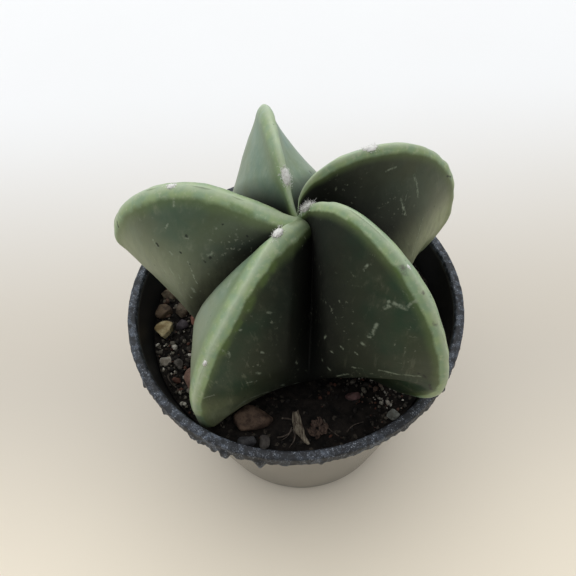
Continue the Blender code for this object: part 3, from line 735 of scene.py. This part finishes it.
def buildWool():
    # hairs are curled tubes that grow out of an oval on the crest, thin to a point and lean at
    # random; the felt under them is a flattened ball with a noisy skin
    random = np.random.default_rng(wool["seed"])
    part = np.linspace(0, 1, wool["hairPoints"])
    rings, columns, rough, longShare, wideShare, least = wool["felt"]
    lying = np.roll(ball(rings, columns, 0.12), 1, axis=-1)
    allTubes, felts = [], []
    for number, distance, halfLength, halfWidth, count, length in wool["tufts"]:
        count = count if fine else count // 2
        here, ahead, up = (np.array(v) for v in crestAt(number, distance))
        aside = np.cross(up, ahead)
        spot = random.normal(0, wool["scatter"], (count, 2))
        lean = random.normal(0, wool["lean"], (count, 3))
        root = here + ahead * (spot[:, :1] * halfLength) + aside * (spot[:, 1:] * halfWidth)
        sunk, deeper = wool["sunk"]
        root = root - up * (sunk + deeper * (spot[:, 1:] ** 2) * halfWidth)
        way = up + lean
        way = way / np.linalg.norm(way, axis=1, keepdims=True)
        long = length * random.uniform(*wool["lengths"], (count, 1))
        curl = random.normal(0, wool["curl"], (count, 3)) * long
        phase = random.uniform(0, 6, (count, 1))
        straight = way[:, None] * (long[:, None] * part[:, None])
        swing = curl[:, None] * np.sin(phase[..., None] + part[:, None] * 4.0) * part[:, None]
        taper = wool["hairRadius"] * (1 - 0.75 * part)
        radius = taper * random.uniform(*wool["widths"], (count, 1))
        allTubes.append(tubesAlong(root[:, None] + straight + swing, radius, wool["hairSides"]))
        noise = layeredNoise(lying * 3 + number * 5 + distance, 1.0, 2, 4)
        size = np.array([halfLength * longShare, halfWidth * wideShare, 0.3 * length + least])
        felt = lying * (1 + rough * noise)[..., None] * size
        felt = felt[..., :1] * ahead + felt[..., 1:2] * aside + felt[..., 2:] * up
        felts.append(here - up * 0.1 + felt)
    hairs = np.concatenate(allTubes)
    tone = random.uniform(0, 1, len(hairs))
    cloth = woolMaterial()
    for name, bodies, tones in (("areoleHairs", hairs, tone),
                                ("areoleFelt", np.array(felts), np.full(len(felts), 0.3))):
        piece = manyBodies(name, bodies, {"tone": tones})
        dress(piece, cloth)
        handOver(piece, "cactus_skin")
    print("wool", len(hairs), "hairs")


def woolMaterial():
    cloth = Shader("areoleWool", roughness=0.95, specular=0.1)
    dust = cloth.noise(0.8, 3)
    colour = cloth.mix(cloth.stored("tone"), shade(212, 212, 208), shade(246, 246, 242))
    colour = cloth.mix(dust.between(0.52, 0.72) * 0.45, colour, shade(138, 132, 122))
    cloth.feed("Base Color", colour)
    cloth.bump(dust, 0.12)
    return cloth.material


# the pot

pot = {
    "rimOuter": 42.5, "rimInner": 40.3, "height": 65.0, "floor": 1.2, "wall": 1.0, "base": 29.0,
    "lip": 3.3, "columns": 960,
    # radii of the rounded corners at the base, the lip's outside and inside, and the well's floor
    "baseRound": 1.2, "lipRound": 0.6, "innerRound": 0.5, "wellRound": 1.0,
    "wallStep": 4.0, "lipStep": 0.4,  # most distance between rings
    "drainRadius": 3.0, "drainRing": 17.0, "drainCount": 4, "drainHeights": (4.0, -2.0),
    "roughest": 248,  # azimuth where the lip is roughest
    # torn crumbs of plastic and lime at the lip's lower edge: azimuth, width in degrees, how far
    # out, how far down
    "crumbs": [
        (233.6, 2.6, 0.55, 0.8), (237, 3.0, 0.6, 0.8), (240.8, 3.2, 0.6, 1.0), (245.2, 2.5, 1.1, 1.6),
        (250.0, 2.0, 0.3, 0.4), (256.4, 2.5, 0.8, 1.2), (259.6, 1.6, 0.25, 0.4), (264, 3, 0.3, 0.5),
        (221, 1.6, 0.4, 0.4), (321.5, 1.6, 0.5, 0.8), (313, 2.0, 0.3, 0.5), (303, 2.4, 0.3, 0.4),
        (209, 1.5, 0.35, 0.3), (195, 1.6, 0.3, 0.3), (275, 2, 0.3, 0.5),
    ],
}


def innerWall(z):
    floorR = pot["base"] - pot["wall"]
    return floorR + (pot["rimInner"] - floorR) * (z - pot["floor"]) / (pot["height"] - pot["floor"])


def bend(r, z, radius, start, end, share=(0.0, 0.0), inside=0):
    # a quarter turn round (r, z) between two angles in degrees, with the lip's share at its ends
    steps = 5
    angles = np.radians(np.linspace(start, end, steps))
    shares = np.linspace(*share, steps)
    return [(r + radius * math.cos(a), z + radius * math.sin(a), s, inside) for a, s in zip(angles, shares)]


def spread(stops, most):
    # points along a line of stops, none further apart than most
    found = [np.array(stops[:1], float)]
    for a, b in zip(stops[:-1], stops[1:]):
        count = max(1, math.ceil(math.dist(a[:2], b[:2]) / most))
        part = (np.arange(1, count + 1) / count)[:, None]
        found.append(np.array(a) + (np.array(b) - np.array(a)) * part)
    return np.concatenate(found)


def potProfile():
    # distance, height, share of the roughness and 1 on the inner side, from the base's underside
    # up the wall, over the lip and down the well
    lipZ, top, floorZ = pot["height"] - pot["lip"], pot["height"], pot["floor"]
    rimIn, rimOut, base = pot["rimInner"], pot["rimOuter"], pot["base"]
    edge, soft, inner, well = (pot[key] for key in ("baseRound", "lipRound", "innerRound", "wellRound"))
    wallTop = innerWall(lipZ) + pot["wall"]
    wall = [(base - edge - 0.1, 0.0, 0.0, 0)]
    wall += bend(base - edge, edge, edge, -90, 0)
    wall += [(wallTop - 0.1, lipZ - 0.5, 0.0, 0)]
    lip = [wall[-1], (wallTop + 0.15, lipZ - 0.1, 0.2, 0), (rimOut - soft, lipZ, 1.0, 0)]
    lip += bend(rimOut - soft, lipZ + soft, soft, -90, 0, (1.0, 0.843))
    lip += bend(rimOut - soft, top - soft, soft, 0, 90, (0.35, 0.193))
    lip += bend(rimIn + inner, top - inner, inner, 90, 180, (0.15, 0.15))
    inward = [lip[-1], (innerWall(top - 2.0), top - 2.0, 0.0, 1)]
    inward += [(innerWall(floorZ + well), floorZ + well, 0.0, 1)]
    inward += bend(innerWall(floorZ) - well, floorZ + well, well, 0, -90, inside=1)[1:]
    walls, lips = pot["wallStep"], pot["lipStep"]
    return np.concatenate([spread(wall, walls), spread(lip, lips)[1:], spread(inward, walls)[1:]])


def potRings(profile, turn):
    # the profile turned round the axis; the lip is pushed in and out by noise, most at its lower
    # edge, and each crumb is a steep hump round its azimuth
    r, z, share = (profile[:, k, None] for k in range(3))
    lipZ = pot["height"] - pot["lip"]
    around = np.stack([r * np.cos(turn), r * np.sin(turn), z + 0 * turn], axis=-1)
    front = 0.5 + 0.5 * np.cos(turn - math.radians(pot["roughest"]))
    grit = 0.24 * layeredNoise(around, 1.1, 3, 2) + 0.16 * layeredNoise(around, 4.5, 2, 6)
    out = share * (grit * (0.6 + 0.6 * front) + 0.1)
    ragged = 0.17 * layeredNoise(around, 2.2, 3, 8) * (0.4 + front) + 0.1 * front
    drop = share * smoothStep(lipZ + 1.6, lipZ, z) * ragged
    for azimuth, wide, far, down in pot["crumbs"]:
        apart = (np.degrees(turn) - azimuth + 180) % 360 - 180
        lump = np.exp(-(apart / (0.6 * wide)) ** 4 * (1 + 0.4 * valueNoise(around, 0.9, 12)))
        lump = lump * (1 + 0.45 * layeredNoise(around, 0.9, 2, 14)) * (share > 0.5)
        out = out + far * lump * smoothStep(lipZ + 2.2, lipZ + 0.3, z) * 0.9
        drop = drop + down * lump * smoothStep(lipZ + 1.2, lipZ, z)
    # the thin wall isn't quite true
    out = out + (share <= 0.3) * (z < lipZ) * 0.06 * layeredNoise(around, 14.0, 2, 21)
    rings = np.stack([(r + out) * np.cos(turn), (r + out) * np.sin(turn), z - drop + 0 * turn], axis=-1)
    rings[profile[:, 1] <= 0.001, :, 2] = 0.0
    return rings


def drainCutters():
    # upright rods where the drainage holes go
    cutters = bpy.data.collections.new("drainCutters")
    bpy.context.scene.collection.children.link(cutters)
    circle = np.linspace(0, 2 * np.pi, 48, endpoint=False)
    for k in range(pot["drainCount"]):
        a = (k + 0.5) * 2 * math.pi / pot["drainCount"]
        x, y = pot["drainRing"] * math.cos(a), pot["drainRing"] * math.sin(a)
        flat = np.array([x, y]) + pot["drainRadius"] * np.stack([np.cos(circle), np.sin(circle)], -1)
        rod = np.array([np.insert(flat, 2, h, axis=1) for h in pot["drainHeights"]])
        start, end = ((x, y, h) for h in pot["drainHeights"])
        cutters.objects.link(closedBody(f"drain{k}", rod, start, end))
    return cutters


def buildPot():
    profile = potProfile()
    turn = np.linspace(0, 2 * np.pi, pot["columns"], endpoint=False)
    rings = potRings(profile, turn)
    values = {}
    for name, column in (("lipShare", 2), ("inside", 3)):
        values[name] = np.broadcast_to(profile[:, column, None], rings.shape[:2])[::-1]
    body = closedBody("nurseryPot", rings[::-1], (0, 0, pot["floor"]), (0, 0, 0), values)
    cutters = drainCutters()
    cut = body.modifiers.new("drain", "BOOLEAN")
    cut.operand_type = "COLLECTION"
    cut.operation = "DIFFERENCE"
    cut.solver = "EXACT"
    cut.collection = cutters
    bpy.context.view_layer.update()
    done = bpy.data.meshes.new_from_object(body.evaluated_get(bpy.context.evaluated_depsgraph_get()))
    body.modifiers.clear()
    body.data = done
    for cutter in list(cutters.objects):
        bpy.data.objects.remove(cutter, do_unlink=True)
    bpy.data.collections.remove(cutters)
    dress(body, potMaterial())
    handOver(body, "pot_plastic", "pot")
    print("pot", len(body.data.polygons), "faces")


def potMaterial():
    plastic = Shader("potPlastic", roughness=0.35, specular=0.5)
    lip = plastic.stored("lipShare").between(0.02, 0.12)
    inside = plastic.stored("inside")
    front = plastic.axis(1).between(-40 * mm, 5 * mm, 1.0, 0.0)
    dust, fineDust = plastic.noise(1.5, 5, 0.65), plastic.noise(0.45, 3, 0.6)
    flow = plastic.noise(9, 3, at=plastic.stretched(1, 1, 0.35))
    wall = plastic.mix(flow.between(0.35, 0.7), shade(86, 82, 72), shade(103, 98, 86))
    # the lip is dusty in clouds, with painted shade in front, and grains of chalk and salt
    dustAndShade = plastic.mix(dust.between(0.42, 0.66), shade(28, 32, 38), shade(86, 95, 108))
    dustAndShade = plastic.mix(fineDust.between(0.48, 0.66) * 0.6, dustAndShade, shade(22, 25, 31))
    # painted shade: dark clouds, strongest at the front of the lip, where the plant shades it
    frontShadeClouds = plastic.noise(13, 2).between(0.36, 0.6) * (front * 0.5 + 0.3)
    dustAndShade = plastic.mix(frontShadeClouds, dustAndShade, shade(20, 22, 27))
    chalk = plastic.cells(0.75).between(0.12, 0.26, 1.0, 0.0) * dust.between(0.42, 0.56)
    salt = plastic.noise(0.28, 2, 0.7).between(0.54, 0.66) * dust.between(0.4, 0.58)
    dustAndShade = plastic.mix((chalk * 0.7).atLeast(salt * 0.6), dustAndShade, shade(158, 164, 174))
    wall = plastic.mix(inside, wall, shade(22, 22, 23))
    plastic.feed("Base Color", plastic.mix(lip, wall, dustAndShade))
    dull = lip * (0.4 + dust.between(0.4, 0.8) * 0.15)
    plastic.feed("Roughness", 0.24 + dull + inside * 0.3)
    plastic.bump(lip * (fineDust * 0.6 + dust * 0.6), 0.14, 0.7)
    return plastic.material


# soil, grit and stones

soil = {
    "top": 54.4, "columns": 400, "rings": 120, "bottom": 1.55, "gap": 0.35,
    # the CAD's relief is kept within a millimetre: height, width, layers and seed of the swells,
    # clods and crumbs
    "relief": [(0.35, 8, 1, 31), (0.32, 3.1, 1, 32), (0.26, 1.5, 3, 33)],
    "grains": 3900, "seed": 5,
    "ring": (14, 37.3),      # grains lie between these distances from the axis
    "front": (272, 32),      # azimuth and half width of the bare part
    "right": (314, 13),      # of the part with most grit
    "sizes": (0.3, 2.4),
    "flatness": (0.5, 0.9),
    "length": (0.9, 1.6),
}


def soilHeight(x, y):
    flat = np.stack([x, y, np.zeros_like(x)], axis=-1)
    return soil["top"] + sum(tall * layeredNoise(flat, *rest) for tall, *rest in soil["relief"])


def buildSoil():
    # a plug that fills the pot: rings over its rough top, down the wall and in over its flat bottom
    turn = np.linspace(0, 2 * np.pi, soil["columns"], endpoint=False)
    circle = np.stack([np.cos(turn), np.sin(turn), 0 * turn], axis=-1)
    rings = []
    for r in (innerWall(soil["top"]) - soil["gap"]) * np.linspace(0.02, 1, soil["rings"]) ** 0.75:
        x, y = r * np.cos(turn), r * np.sin(turn)
        rings.append(np.stack([x, y, soilHeight(x, y)], axis=-1))
    for z in np.linspace(soil["top"] - 2, soil["bottom"] + 1.2, 24):
        rings.append((innerWall(z) - soil["gap"]) * circle + [0, 0, z])
    rings.append((innerWall(soil["bottom"]) - 1.2) * circle + [0, 0, soil["bottom"]])
    start, end = (0, 0, soil["top"]), (0, 0, soil["bottom"])
    body = closedBody("pottingSoil", np.array(rings), start, end)
    dress(body, soilMaterial())
    handOver(body, "potting_soil", "soil")
    print("soil", len(rings), "rings")


def soilMaterial():
    earth = Shader("pottingSoil", roughness=0.95, specular=0.15)
    clod, crumb = earth.noise(3.0, 5, 0.65), earth.noise(0.8, 4, 0.7)
    bits = earth.add("ShaderNodeSeparateColor", {}, {0: earth.cells(0.9, "Color")}, 0)
    colour = earth.mix(clod.between(0.35, 0.65), shade(16, 15, 14), shade(36, 32, 29))
    pale = bits.between(0.9, 0.94) * crumb.between(0.42, 0.55) * 0.4
    earth.feed("Base Color", earth.mix(pale, colour, shade(96, 90, 80)))
    earth.bump(crumb * 0.6 + clod * 0.7, 0.5)
    return earth.material


def turns(axis, angles):
    # the matrix of a turn about one axis, for each angle
    across, after = (axis + 1) % 3, (axis + 2) % 3
    matrices = np.tile(np.eye(3), (len(angles), 1, 1))
    matrices[:, across, across] = matrices[:, after, after] = np.cos(angles)
    matrices[:, after, across] = np.sin(angles)
    matrices[:, across, after] = -np.sin(angles)
    return matrices


def lumps(count, sizes, random, rings=4, columns=6, rough=0.28):
    # small stones: rings of a ball, each point pushed by its own random number, pressed to a size
    # and turned about all three axes
    pushed = 1 + rough * random.uniform(-1, 1, (count, rings, columns, 1))
    shape = ball(rings, columns, 0.35, 0.4)[None] * pushed * sizes[:, None, None] / 2
    spin = random.uniform(0, 2 * np.pi, count)
    tip, tilt = random.normal(0, 0.5, count), random.normal(0, 0.5, count)
    turned = turns(2, spin) @ turns(0, tip) @ turns(1, tilt)
    return np.einsum("nij,nrcj->nrci", turned, shape)


def buildGrit():
    # grains lie on the soil outside the plant's foot, in patches, most at the right and few in front, where
    # they are also darkened as painted shade
    random = np.random.default_rng(soil["seed"])
    count = soil["grains"] if fine else soil["grains"] // 2
    tries = count * 6
    near, far = soil["ring"]
    r = np.sqrt(random.uniform(near**2, far**2, tries))
    a = random.uniform(0, 2 * np.pi, tries)
    x, y = r * np.cos(a), r * np.sin(a)

    def hump(azimuth, half):
        apart = (np.degrees(a) - azimuth + 180) % 360 - 180
        return np.exp(-(apart / half) ** 2)

    front, right = hump(*soil["front"]), hump(*soil["right"])
    keep = random.uniform(0, 1, tries) > 0.86 * front
    patch = valueNoise(np.stack([x, y, 0 * x], -1), 6, 44)
    keep &= random.uniform(-0.9, 1, tries) < patch + 0.55 + right
    x, y, front, right = (values[keep][:count] for values in (x, y, front, right))
    count = len(x)
    size = np.clip(np.exp(random.normal(-0.38, 0.45, count)), *soil["sizes"])
    size = size * (1 - 0.4 * front) * (1 - 0.25 * right)
    long, flat = (random.uniform(*soil[key], count) for key in ("length", "flatness"))
    grains = lumps(count, np.stack([size * long, size, size * flat], -1), random)
    grains = grains + np.stack([x, y, soilHeight(x, y) + 0.18 * size], -1)[:, None, None]
    # painted shade: grains in front are darkened, where the plant shades the soil
    tone = np.clip(random.uniform(0, 1, count) * (1 - 0.95 * front) + 0.33 * right, 0, 1)
    values = {"tone": tone, "hue": random.uniform(0, 1, count)}
    piece = manyBodies("soilGrit", grains, values, smooth=False)
    dress(piece, gritMaterial())
    handOver(piece, "potting_soil")
    print("grit", count, "grains")


def gritMaterial():
    grit = Shader("soilGrit", roughness=0.85, specular=0.3)
    spot = grit.noise(0.5, 3)
    stops = [(0.0, shade(18, 17, 16)), (0.4, shade(38, 35, 32)), (0.62, shade(78, 73, 66)),
             (0.82, shade(130, 125, 112)), (0.95, shade(202, 198, 186))]
    colour = grit.ramp(grit.stored("tone"), stops)
    colour = grit.mix(grit.stored("hue").between(0.8, 0.9) * 0.6, colour, shade(104, 66, 52))
    colour = grit.mix(spot.between(0.45, 0.7) * 0.5, colour, shade(40, 35, 32))
    grit.feed("Base Color", colour)
    grit.bump(spot, 0.15)
    return grit.material


# each stone: its finish, pale and dark tone, the seed of its facets and, where its box differs
# from its CAD node's, how far the box's low and high corner move
stones = {
    "cream": ("pale", (178, 166, 128), (130, 112, 76), 3),
    "brown": ("brown", (104, 88, 70), (66, 54, 44), 4),
    "beige": ("pale", (128, 116, 98), (90, 78, 64), 5),
    "greybrown": ("brown", (110, 98, 82), (70, 60, 50), 6),
    "purple": ("dark", (78, 72, 76), (52, 46, 50), 7),
    "terracotta": ("red", (150, 104, 88), (112, 70, 58), 8),
    "offwhite": ("pale", (170, 166, 154), (120, 112, 100), 9),
    "pinkbrown": ("red", (140, 112, 98), (98, 74, 64), 10),
    "grey": ("dark", (96, 92, 86), (62, 58, 54), 11),
    "redbrown": ("red", (98, 80, 66), (60, 46, 38), 22, (0, 0, 0), (0, 0.8, 1.6)),
    "darkgrey": ("dark", (78, 78, 80), (50, 50, 53), 13),
    "smallbrown": ("brown", (86, 82, 78), (58, 54, 52), 14),
    "lightgrey": ("pale", (150, 154, 148), (108, 108, 100), 15),
    "reddish": ("red", (108, 82, 80), (76, 54, 52), 16, (0.4, 1.2, 0), (0.2, 1.2, 0)),
}
facets = {
    "planes": 10, "reach": (0.66, 0.98), "sharpness": 26, "rough": 0.03, "rings": 40, "columns": 56,
}


def boxOf(node):
    # the low and high corner of a CAD node, in mm
    return [np.array(corner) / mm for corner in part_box(node)]


def stoneShape(low, high, seed):
    # a ball cut by flat planes at random tilts: the distance in each direction is a soft minimum
    # over the planes
    random = np.random.default_rng(seed)
    points = ball(facets["rings"], facets["columns"], 0.03)
    planes = random.normal(0, 1, (facets["planes"], 3))
    planes = planes / np.linalg.norm(planes, axis=1, keepdims=True)
    far = random.uniform(*facets["reach"], facets["planes"])
    facing = np.maximum(points @ planes.T, 0.05)
    power = facets["sharpness"]
    reach = ((far / facing) ** -power).sum(axis=-1) ** (-1 / power)
    reach = np.minimum(reach, 1.25) * (1 + facets["rough"] * layeredNoise(points, 0.5, 3, seed))
    shape = points * reach[..., None]
    least, most = shape.min((0, 1)), shape.max((0, 1))
    return low + (shape - least) / (most - least) * (high - low)


def buildStones():
    for name, (finish, light, dark, seed, *moves) in stones.items():
        low, high = boxOf(f"stone_{name}")
        if moves:
            low, high = low + moves[0], high + moves[1]
        rings = stoneShape(low, high, seed)
        piece = closedBody(f"gravel_{name}", rings, rings[0].mean(0), rings[-1].mean(0))
        dress(piece, stoneMaterial(piece.name, shade(*light), shade(*dark)))
        handOver(piece, f"stone_{finish}", f"stone_{name}")
    print("stones", len(stones))


def stoneMaterial(name, light, dark):
    rock = Shader(name, roughness=0.8, specular=0.35)
    patch, grain, pits = rock.noise(2.2, 4, 0.6), rock.noise(0.35, 3, 0.6), rock.cells(0.7)
    colour = rock.mix(patch.between(0.35, 0.65), light, dark)
    colour = rock.mix(grain.between(0.5, 0.72) * 0.45, colour, tuple(0.45 * c for c in dark))
    bright = tuple(min(1, 1.5 * c) for c in light)
    colour = rock.mix(pits.between(0.05, 0.16, 1.0, 0.0) * 0.4, colour, bright)
    rock.feed("Base Color", colour)
    rock.feed("Roughness", 0.7 + patch * 0.25)
    rock.bump(grain * 0.7 + patch * 0.5, 0.14)
    return rock.material


# dry bits

litter = {
    # rootlets over the soil: start, end, bow sideways, radius
    "roots": [
        ((-4.9, -28.2), (-1.2, -30.2), 0.5, 0.26), ((-6.2, -33.0), (-2.6, -31.4), -0.5, 0.22),
        ((-2.3, -31.2), (-3.5, -35.6), 0.9, 0.24), ((-2.6, -30.6), (-5.4, -33.8), 0.6, 0.18),
        ((5.2, -29.0), (8.6, -33.6), -0.7, 0.2), ((-28.5, -9.5), (-25.0, -12.5), 0.6, 0.2),
        ((-33.5, -14.6), (-30.6, -18.4), -0.6, 0.22), ((10.5, -32.6), (14.8, -30.4), 0.5, 0.18),
        ((-22.5, -25.5), (-19.6, -29.4), 0.5, 0.2),
    ],
    "rootPoints": 16,
    "rootSides": 7,
    # the curled scale: bow, width, curl, lift over the soil, rise, seed
    "husk": (-0.8, 2.5, 1.35, 0.1, 0.6, 2),
    "huskInset": (0.9, 0.6),     # how far it keeps from its box's sides at its start and end
    "crumbShift": (0.9, 0.4),    # how far the crumb lies to the left and front of its box
    "scales": 16,
    "scaleReach": (1.8, 2.9),
    "scaleWidth": (1.0, 2.0),
    "scaleGrid": (18, 8, 0.22),  # rows, points across, thickness
    "seed": 23,
}


def bowedLine(start, end, bow, part):
    # a line over the soil that bows to its left as a sine, and the way to that side
    start, end = np.array(start, float), np.array(end, float)
    way = (end - start) / np.linalg.norm(end - start)
    left = np.array([-way[1], way[0]])
    line = start + (end - start) * part[:, None] + left * (bow * np.sin(np.pi * part))[:, None]
    return line, left


def stripShape(start, end, bow, width, curl, lift, rise, seed, rows=40, arcs=14, thick=0.3):
    # a thin curled strip: an arc across, carried along a bowed line, narrow and ragged at its
    # ends; each ring runs out along the outer side and back along the inner one
    part = np.linspace(0, 1, rows)
    middle, left = bowedLine(start, end, bow, part)
    uneven = 1 + 0.16 * valueNoise(np.stack([part * 9, part * 0 + seed, part * 0], -1), 1.0, seed)
    taper = (0.30 + 0.70 * np.sin(np.pi * (0.08 + 0.84 * part)) ** 0.7) * uneven
    angle = np.linspace(-1, 1, arcs) * (curl * (0.75 + 0.4 * np.sin(2.2 * part + seed)))[:, None]

    def layer(radius):
        flat = middle[:, None] + left * (radius * taper[:, None] * np.sin(angle))[..., None]
        height = lift + rise * part[:, None] ** 1.5 + width / 2 - radius * taper[:, None] * np.cos(angle)
        points = np.concatenate([flat, height[..., None]], -1)
        points[..., 2] += 0.10 * layeredNoise(points, 0.8, 2, seed + 3)
        return points

    return np.concatenate([layer(width / 2), layer(width / 2 - thick)[:, ::-1]], axis=1)


def stripFaces(rows, around):
    # quads round a strip and over its two ends
    index = np.arange(rows * around).reshape(rows, around)
    after = np.roll(index, -1, axis=1)
    sides = np.stack([index[:-1], after[:-1], after[1:], index[1:]], axis=-1).reshape(-1, 4)
    k = np.arange(around // 2 - 1)
    corners = np.stack([k, around - 1 - k, around - 2 - k, k + 1], axis=-1)
    return np.concatenate([sides, index[0][corners], index[-1][corners][:, ::-1]])


def buildHusk():
    low, high = boxOf("dry_husk")
    near, far = litter["huskInset"]
    bow, width, curl, lift, rise, seed = litter["husk"]
    start, end = (low[0] + near, high[1]), (high[0] - far, low[1])
    loops = stripShape(start, end, bow, width, curl, soil["top"] + lift, rise, seed)
    husk = makeMesh("dryHusk", loops, stripFaces(*loops.shape[:2]))
    dress(husk, huskMaterial("dryHusk", shade(136, 128, 112), shade(70, 60, 52)))
    handOver(husk, "husk", "dry_husk")


def buildCrumb():
    # a knot of small curled scales that point away from the crumb's middle
    random = np.random.default_rng(litter["seed"])
    low, high = boxOf("bark_crumb")
    centre = ((low + high) / 2)[:2] - litter["crumbShift"]
    knot = []
    for k in range(litter["scales"]):
        a = 2 * math.pi * k / litter["scales"] + 0.4
        start = centre + 0.5 * np.array([math.cos(a), math.sin(a)])
        reach = random.uniform(*litter["scaleReach"])
        end = centre + reach * np.array([0.9 * math.cos(a + 0.6), math.sin(a + 0.6)])
        bow, width = random.uniform(-0.8, 0.8), random.uniform(*litter["scaleWidth"])
        lift, rise = soil["top"] + random.uniform(-0.2, 1.1), random.uniform(-0.4, 0.8)
        knot.append(stripShape(start, end, bow, width, 1.2, lift, rise, 30 + k, *litter["scaleGrid"]))
    rows, around = knot[0].shape[:2]
    shifts = np.arange(len(knot))[:, None, None] * rows * around
    crumb = makeMesh("barkCrumb", np.array(knot), stripFaces(rows, around) + shifts)
    dress(crumb, huskMaterial("barkCrumb", shade(92, 76, 66), shade(44, 34, 30)))
    handOver(crumb, "bark", "bark_crumb")


def buildRootlets():
    part = np.linspace(0, 1, litter["rootPoints"])
    paths, radii = [], []
    for start, end, bow, radius in litter["roots"]:
        flat = bowedLine(start, end, bow, part)[0]
        z = soilHeight(flat[:, 0], flat[:, 1]) + radius * 0.6 + 0.35 * np.sin(np.pi * part)
        paths.append(np.concatenate([flat, z[:, None]], axis=1))
        radii.append(radius * (1 - 0.6 * part))
    tubes = tubesAlong(np.array(paths), np.array(radii), litter["rootSides"])
    roots = manyBodies("rootlets", tubes)
    dress(roots, huskMaterial("rootlets", shade(96, 88, 80), shade(52, 45, 40)))
    handOver(roots, "husk")
    print("litter", litter["scales"], "scales", len(paths), "rootlets")


def huskMaterial(name, light, dark):
    dry = Shader(name, roughness=0.85, specular=0.25)
    fibre = dry.noise(0.5, 4, 0.6, at=dry.stretched(1.0, 0.25, 1.0))
    patch = dry.noise(1.8, 3)
    colour = dry.mix(fibre.between(0.35, 0.65), light, dark)
    colour = dry.mix(patch.between(0.5, 0.7) * 0.5, colour, tuple(0.5 * c for c in dark))
    dry.feed("Base Color", colour)
    dry.bump(fibre, 0.12)
    return dry.material


# floor, light and camera

studio = {
    "halfSide": 1600,        # of the table top
    # the table's tones are painted light and shade that even out the lamps: lighter in front, darker beside
    # the pot
    "floor": ((243, 233, 214), (205, 198, 186), (233, 234, 235)),  # in front, beside the pot and far behind
    "depths": (-70, 20, 170),  # where the first tone ends, the second stands and the third begins
    "room": ((0.95, 0.97, 1.0), 0.26),
    "aim": (0, 0, 0.07),
    # azimuth, elevation, distance, width, height in metres, watts, tint
    "lights": {
        "window": (92, 78, 1.3, 2.6, 2.6, 23.0, (1.0, 0.99, 0.98)),
        "back": (95, 30, 1.3, 1.8, 0.6, 6.0, (0.96, 0.98, 1.0)),
        "left": (166, 24, 1.3, 1.3, 0.7, 3.6, (0.97, 0.99, 1.0)),
        "right": (20, 26, 1.3, 1.3, 0.7, 3.4, (0.97, 0.99, 1.0)),
    },
    "photo": 576,            # pixels on each side of the photograph
    "lens": 40.625, "sensor": 36, "clip": (0.005, 20),
    "eye": (0.0, -90.76, 203.30), "down": 55.891, "yaw": 0.8935, "roll": -4.388,
}


def buildTable():
    side = studio["halfSide"]
    corners = np.array([(-side, -side, 0), (side, -side, 0), (side, side, 0), (-side, side, 0)])
    floor = makeMesh("tableTop", corners, [(0, 1, 2, 3)], smooth=False)
    paint = Shader("tablePaint", roughness=0.75, specular=0.25)
    near, paintedShadeBeside, far = (shade(*c) for c in studio["floor"])
    start, middle, end = (d * mm for d in studio["depths"])
    depth = paint.axis(1)
    # painted light and shade: lighter in front, darker beside the pot, another tone far behind
    colour = paint.mix(depth.between(start, middle), near, paintedShadeBeside)
    colour = paint.mix(depth.between(middle, end), colour, far)
    colour = paint.mix(paint.noise(60, 3) * 0.06, colour, tuple(0.6 * c for c in near))
    paint.feed("Base Color", colour)
    dress(floor, paint.material)


def buildLights():
    world = bpy.data.worlds.new("room")
    world.use_nodes = True
    colour, strength = studio["room"]
    world.node_tree.nodes["Background"].inputs[0].default_value = (*colour, 1)
    world.node_tree.nodes["Background"].inputs[1].default_value = strength
    bpy.context.scene.world = world
    aim = Vector(studio["aim"])
    for name, (azimuth, elevation, distance, width, height, watts, tint) in studio["lights"].items():
        lamp = bpy.data.lights.new(name, "AREA")
        lamp.shape = "RECTANGLE"
        lamp.size = width
        lamp.size_y = height
        lamp.energy = watts
        lamp.color = tint
        holder = bpy.data.objects.new(name, lamp)
        a, e = math.radians(azimuth), math.radians(elevation)
        way = Vector((math.cos(a) * math.cos(e), math.sin(a) * math.cos(e), math.sin(e)))
        holder.location = aim + way * distance
        holder.rotation_mode = "QUATERNION"
        holder.rotation_quaternion = (aim - holder.location).to_track_quat("-Z", "Y")
        bpy.context.scene.collection.objects.link(holder)


def cameraTurn():
    turned = Matrix.Rotation(math.radians(studio["yaw"]), 4, "Z")
    turned = turned @ Matrix.Rotation(math.radians(90 - studio["down"]), 4, "X")
    return turned @ Matrix.Rotation(math.radians(studio["roll"]), 4, "Z")


def buildCamera():
    camera = bpy.data.objects.new("camera", bpy.data.cameras.new("camera"))
    camera.data.lens = studio["lens"]
    camera.data.sensor_width = studio["sensor"]
    camera.data.clip_start, camera.data.clip_end = studio["clip"]
    camera.matrix_world = Matrix.Translation(Vector(studio["eye"]) * mm) @ cameraTurn()
    bpy.context.scene.collection.objects.link(camera)
    bpy.context.scene.camera = camera
    bpy.context.scene.view_settings.view_transform = "Standard"
    print("studio ready")


buildTable()
buildLights()
buildCamera()
buildPlant()
buildWool()
buildPot()
buildSoil()
buildGrit()
buildStones()
buildHusk()
buildCrumb()
buildRootlets()
bpy.context.view_layer.update()
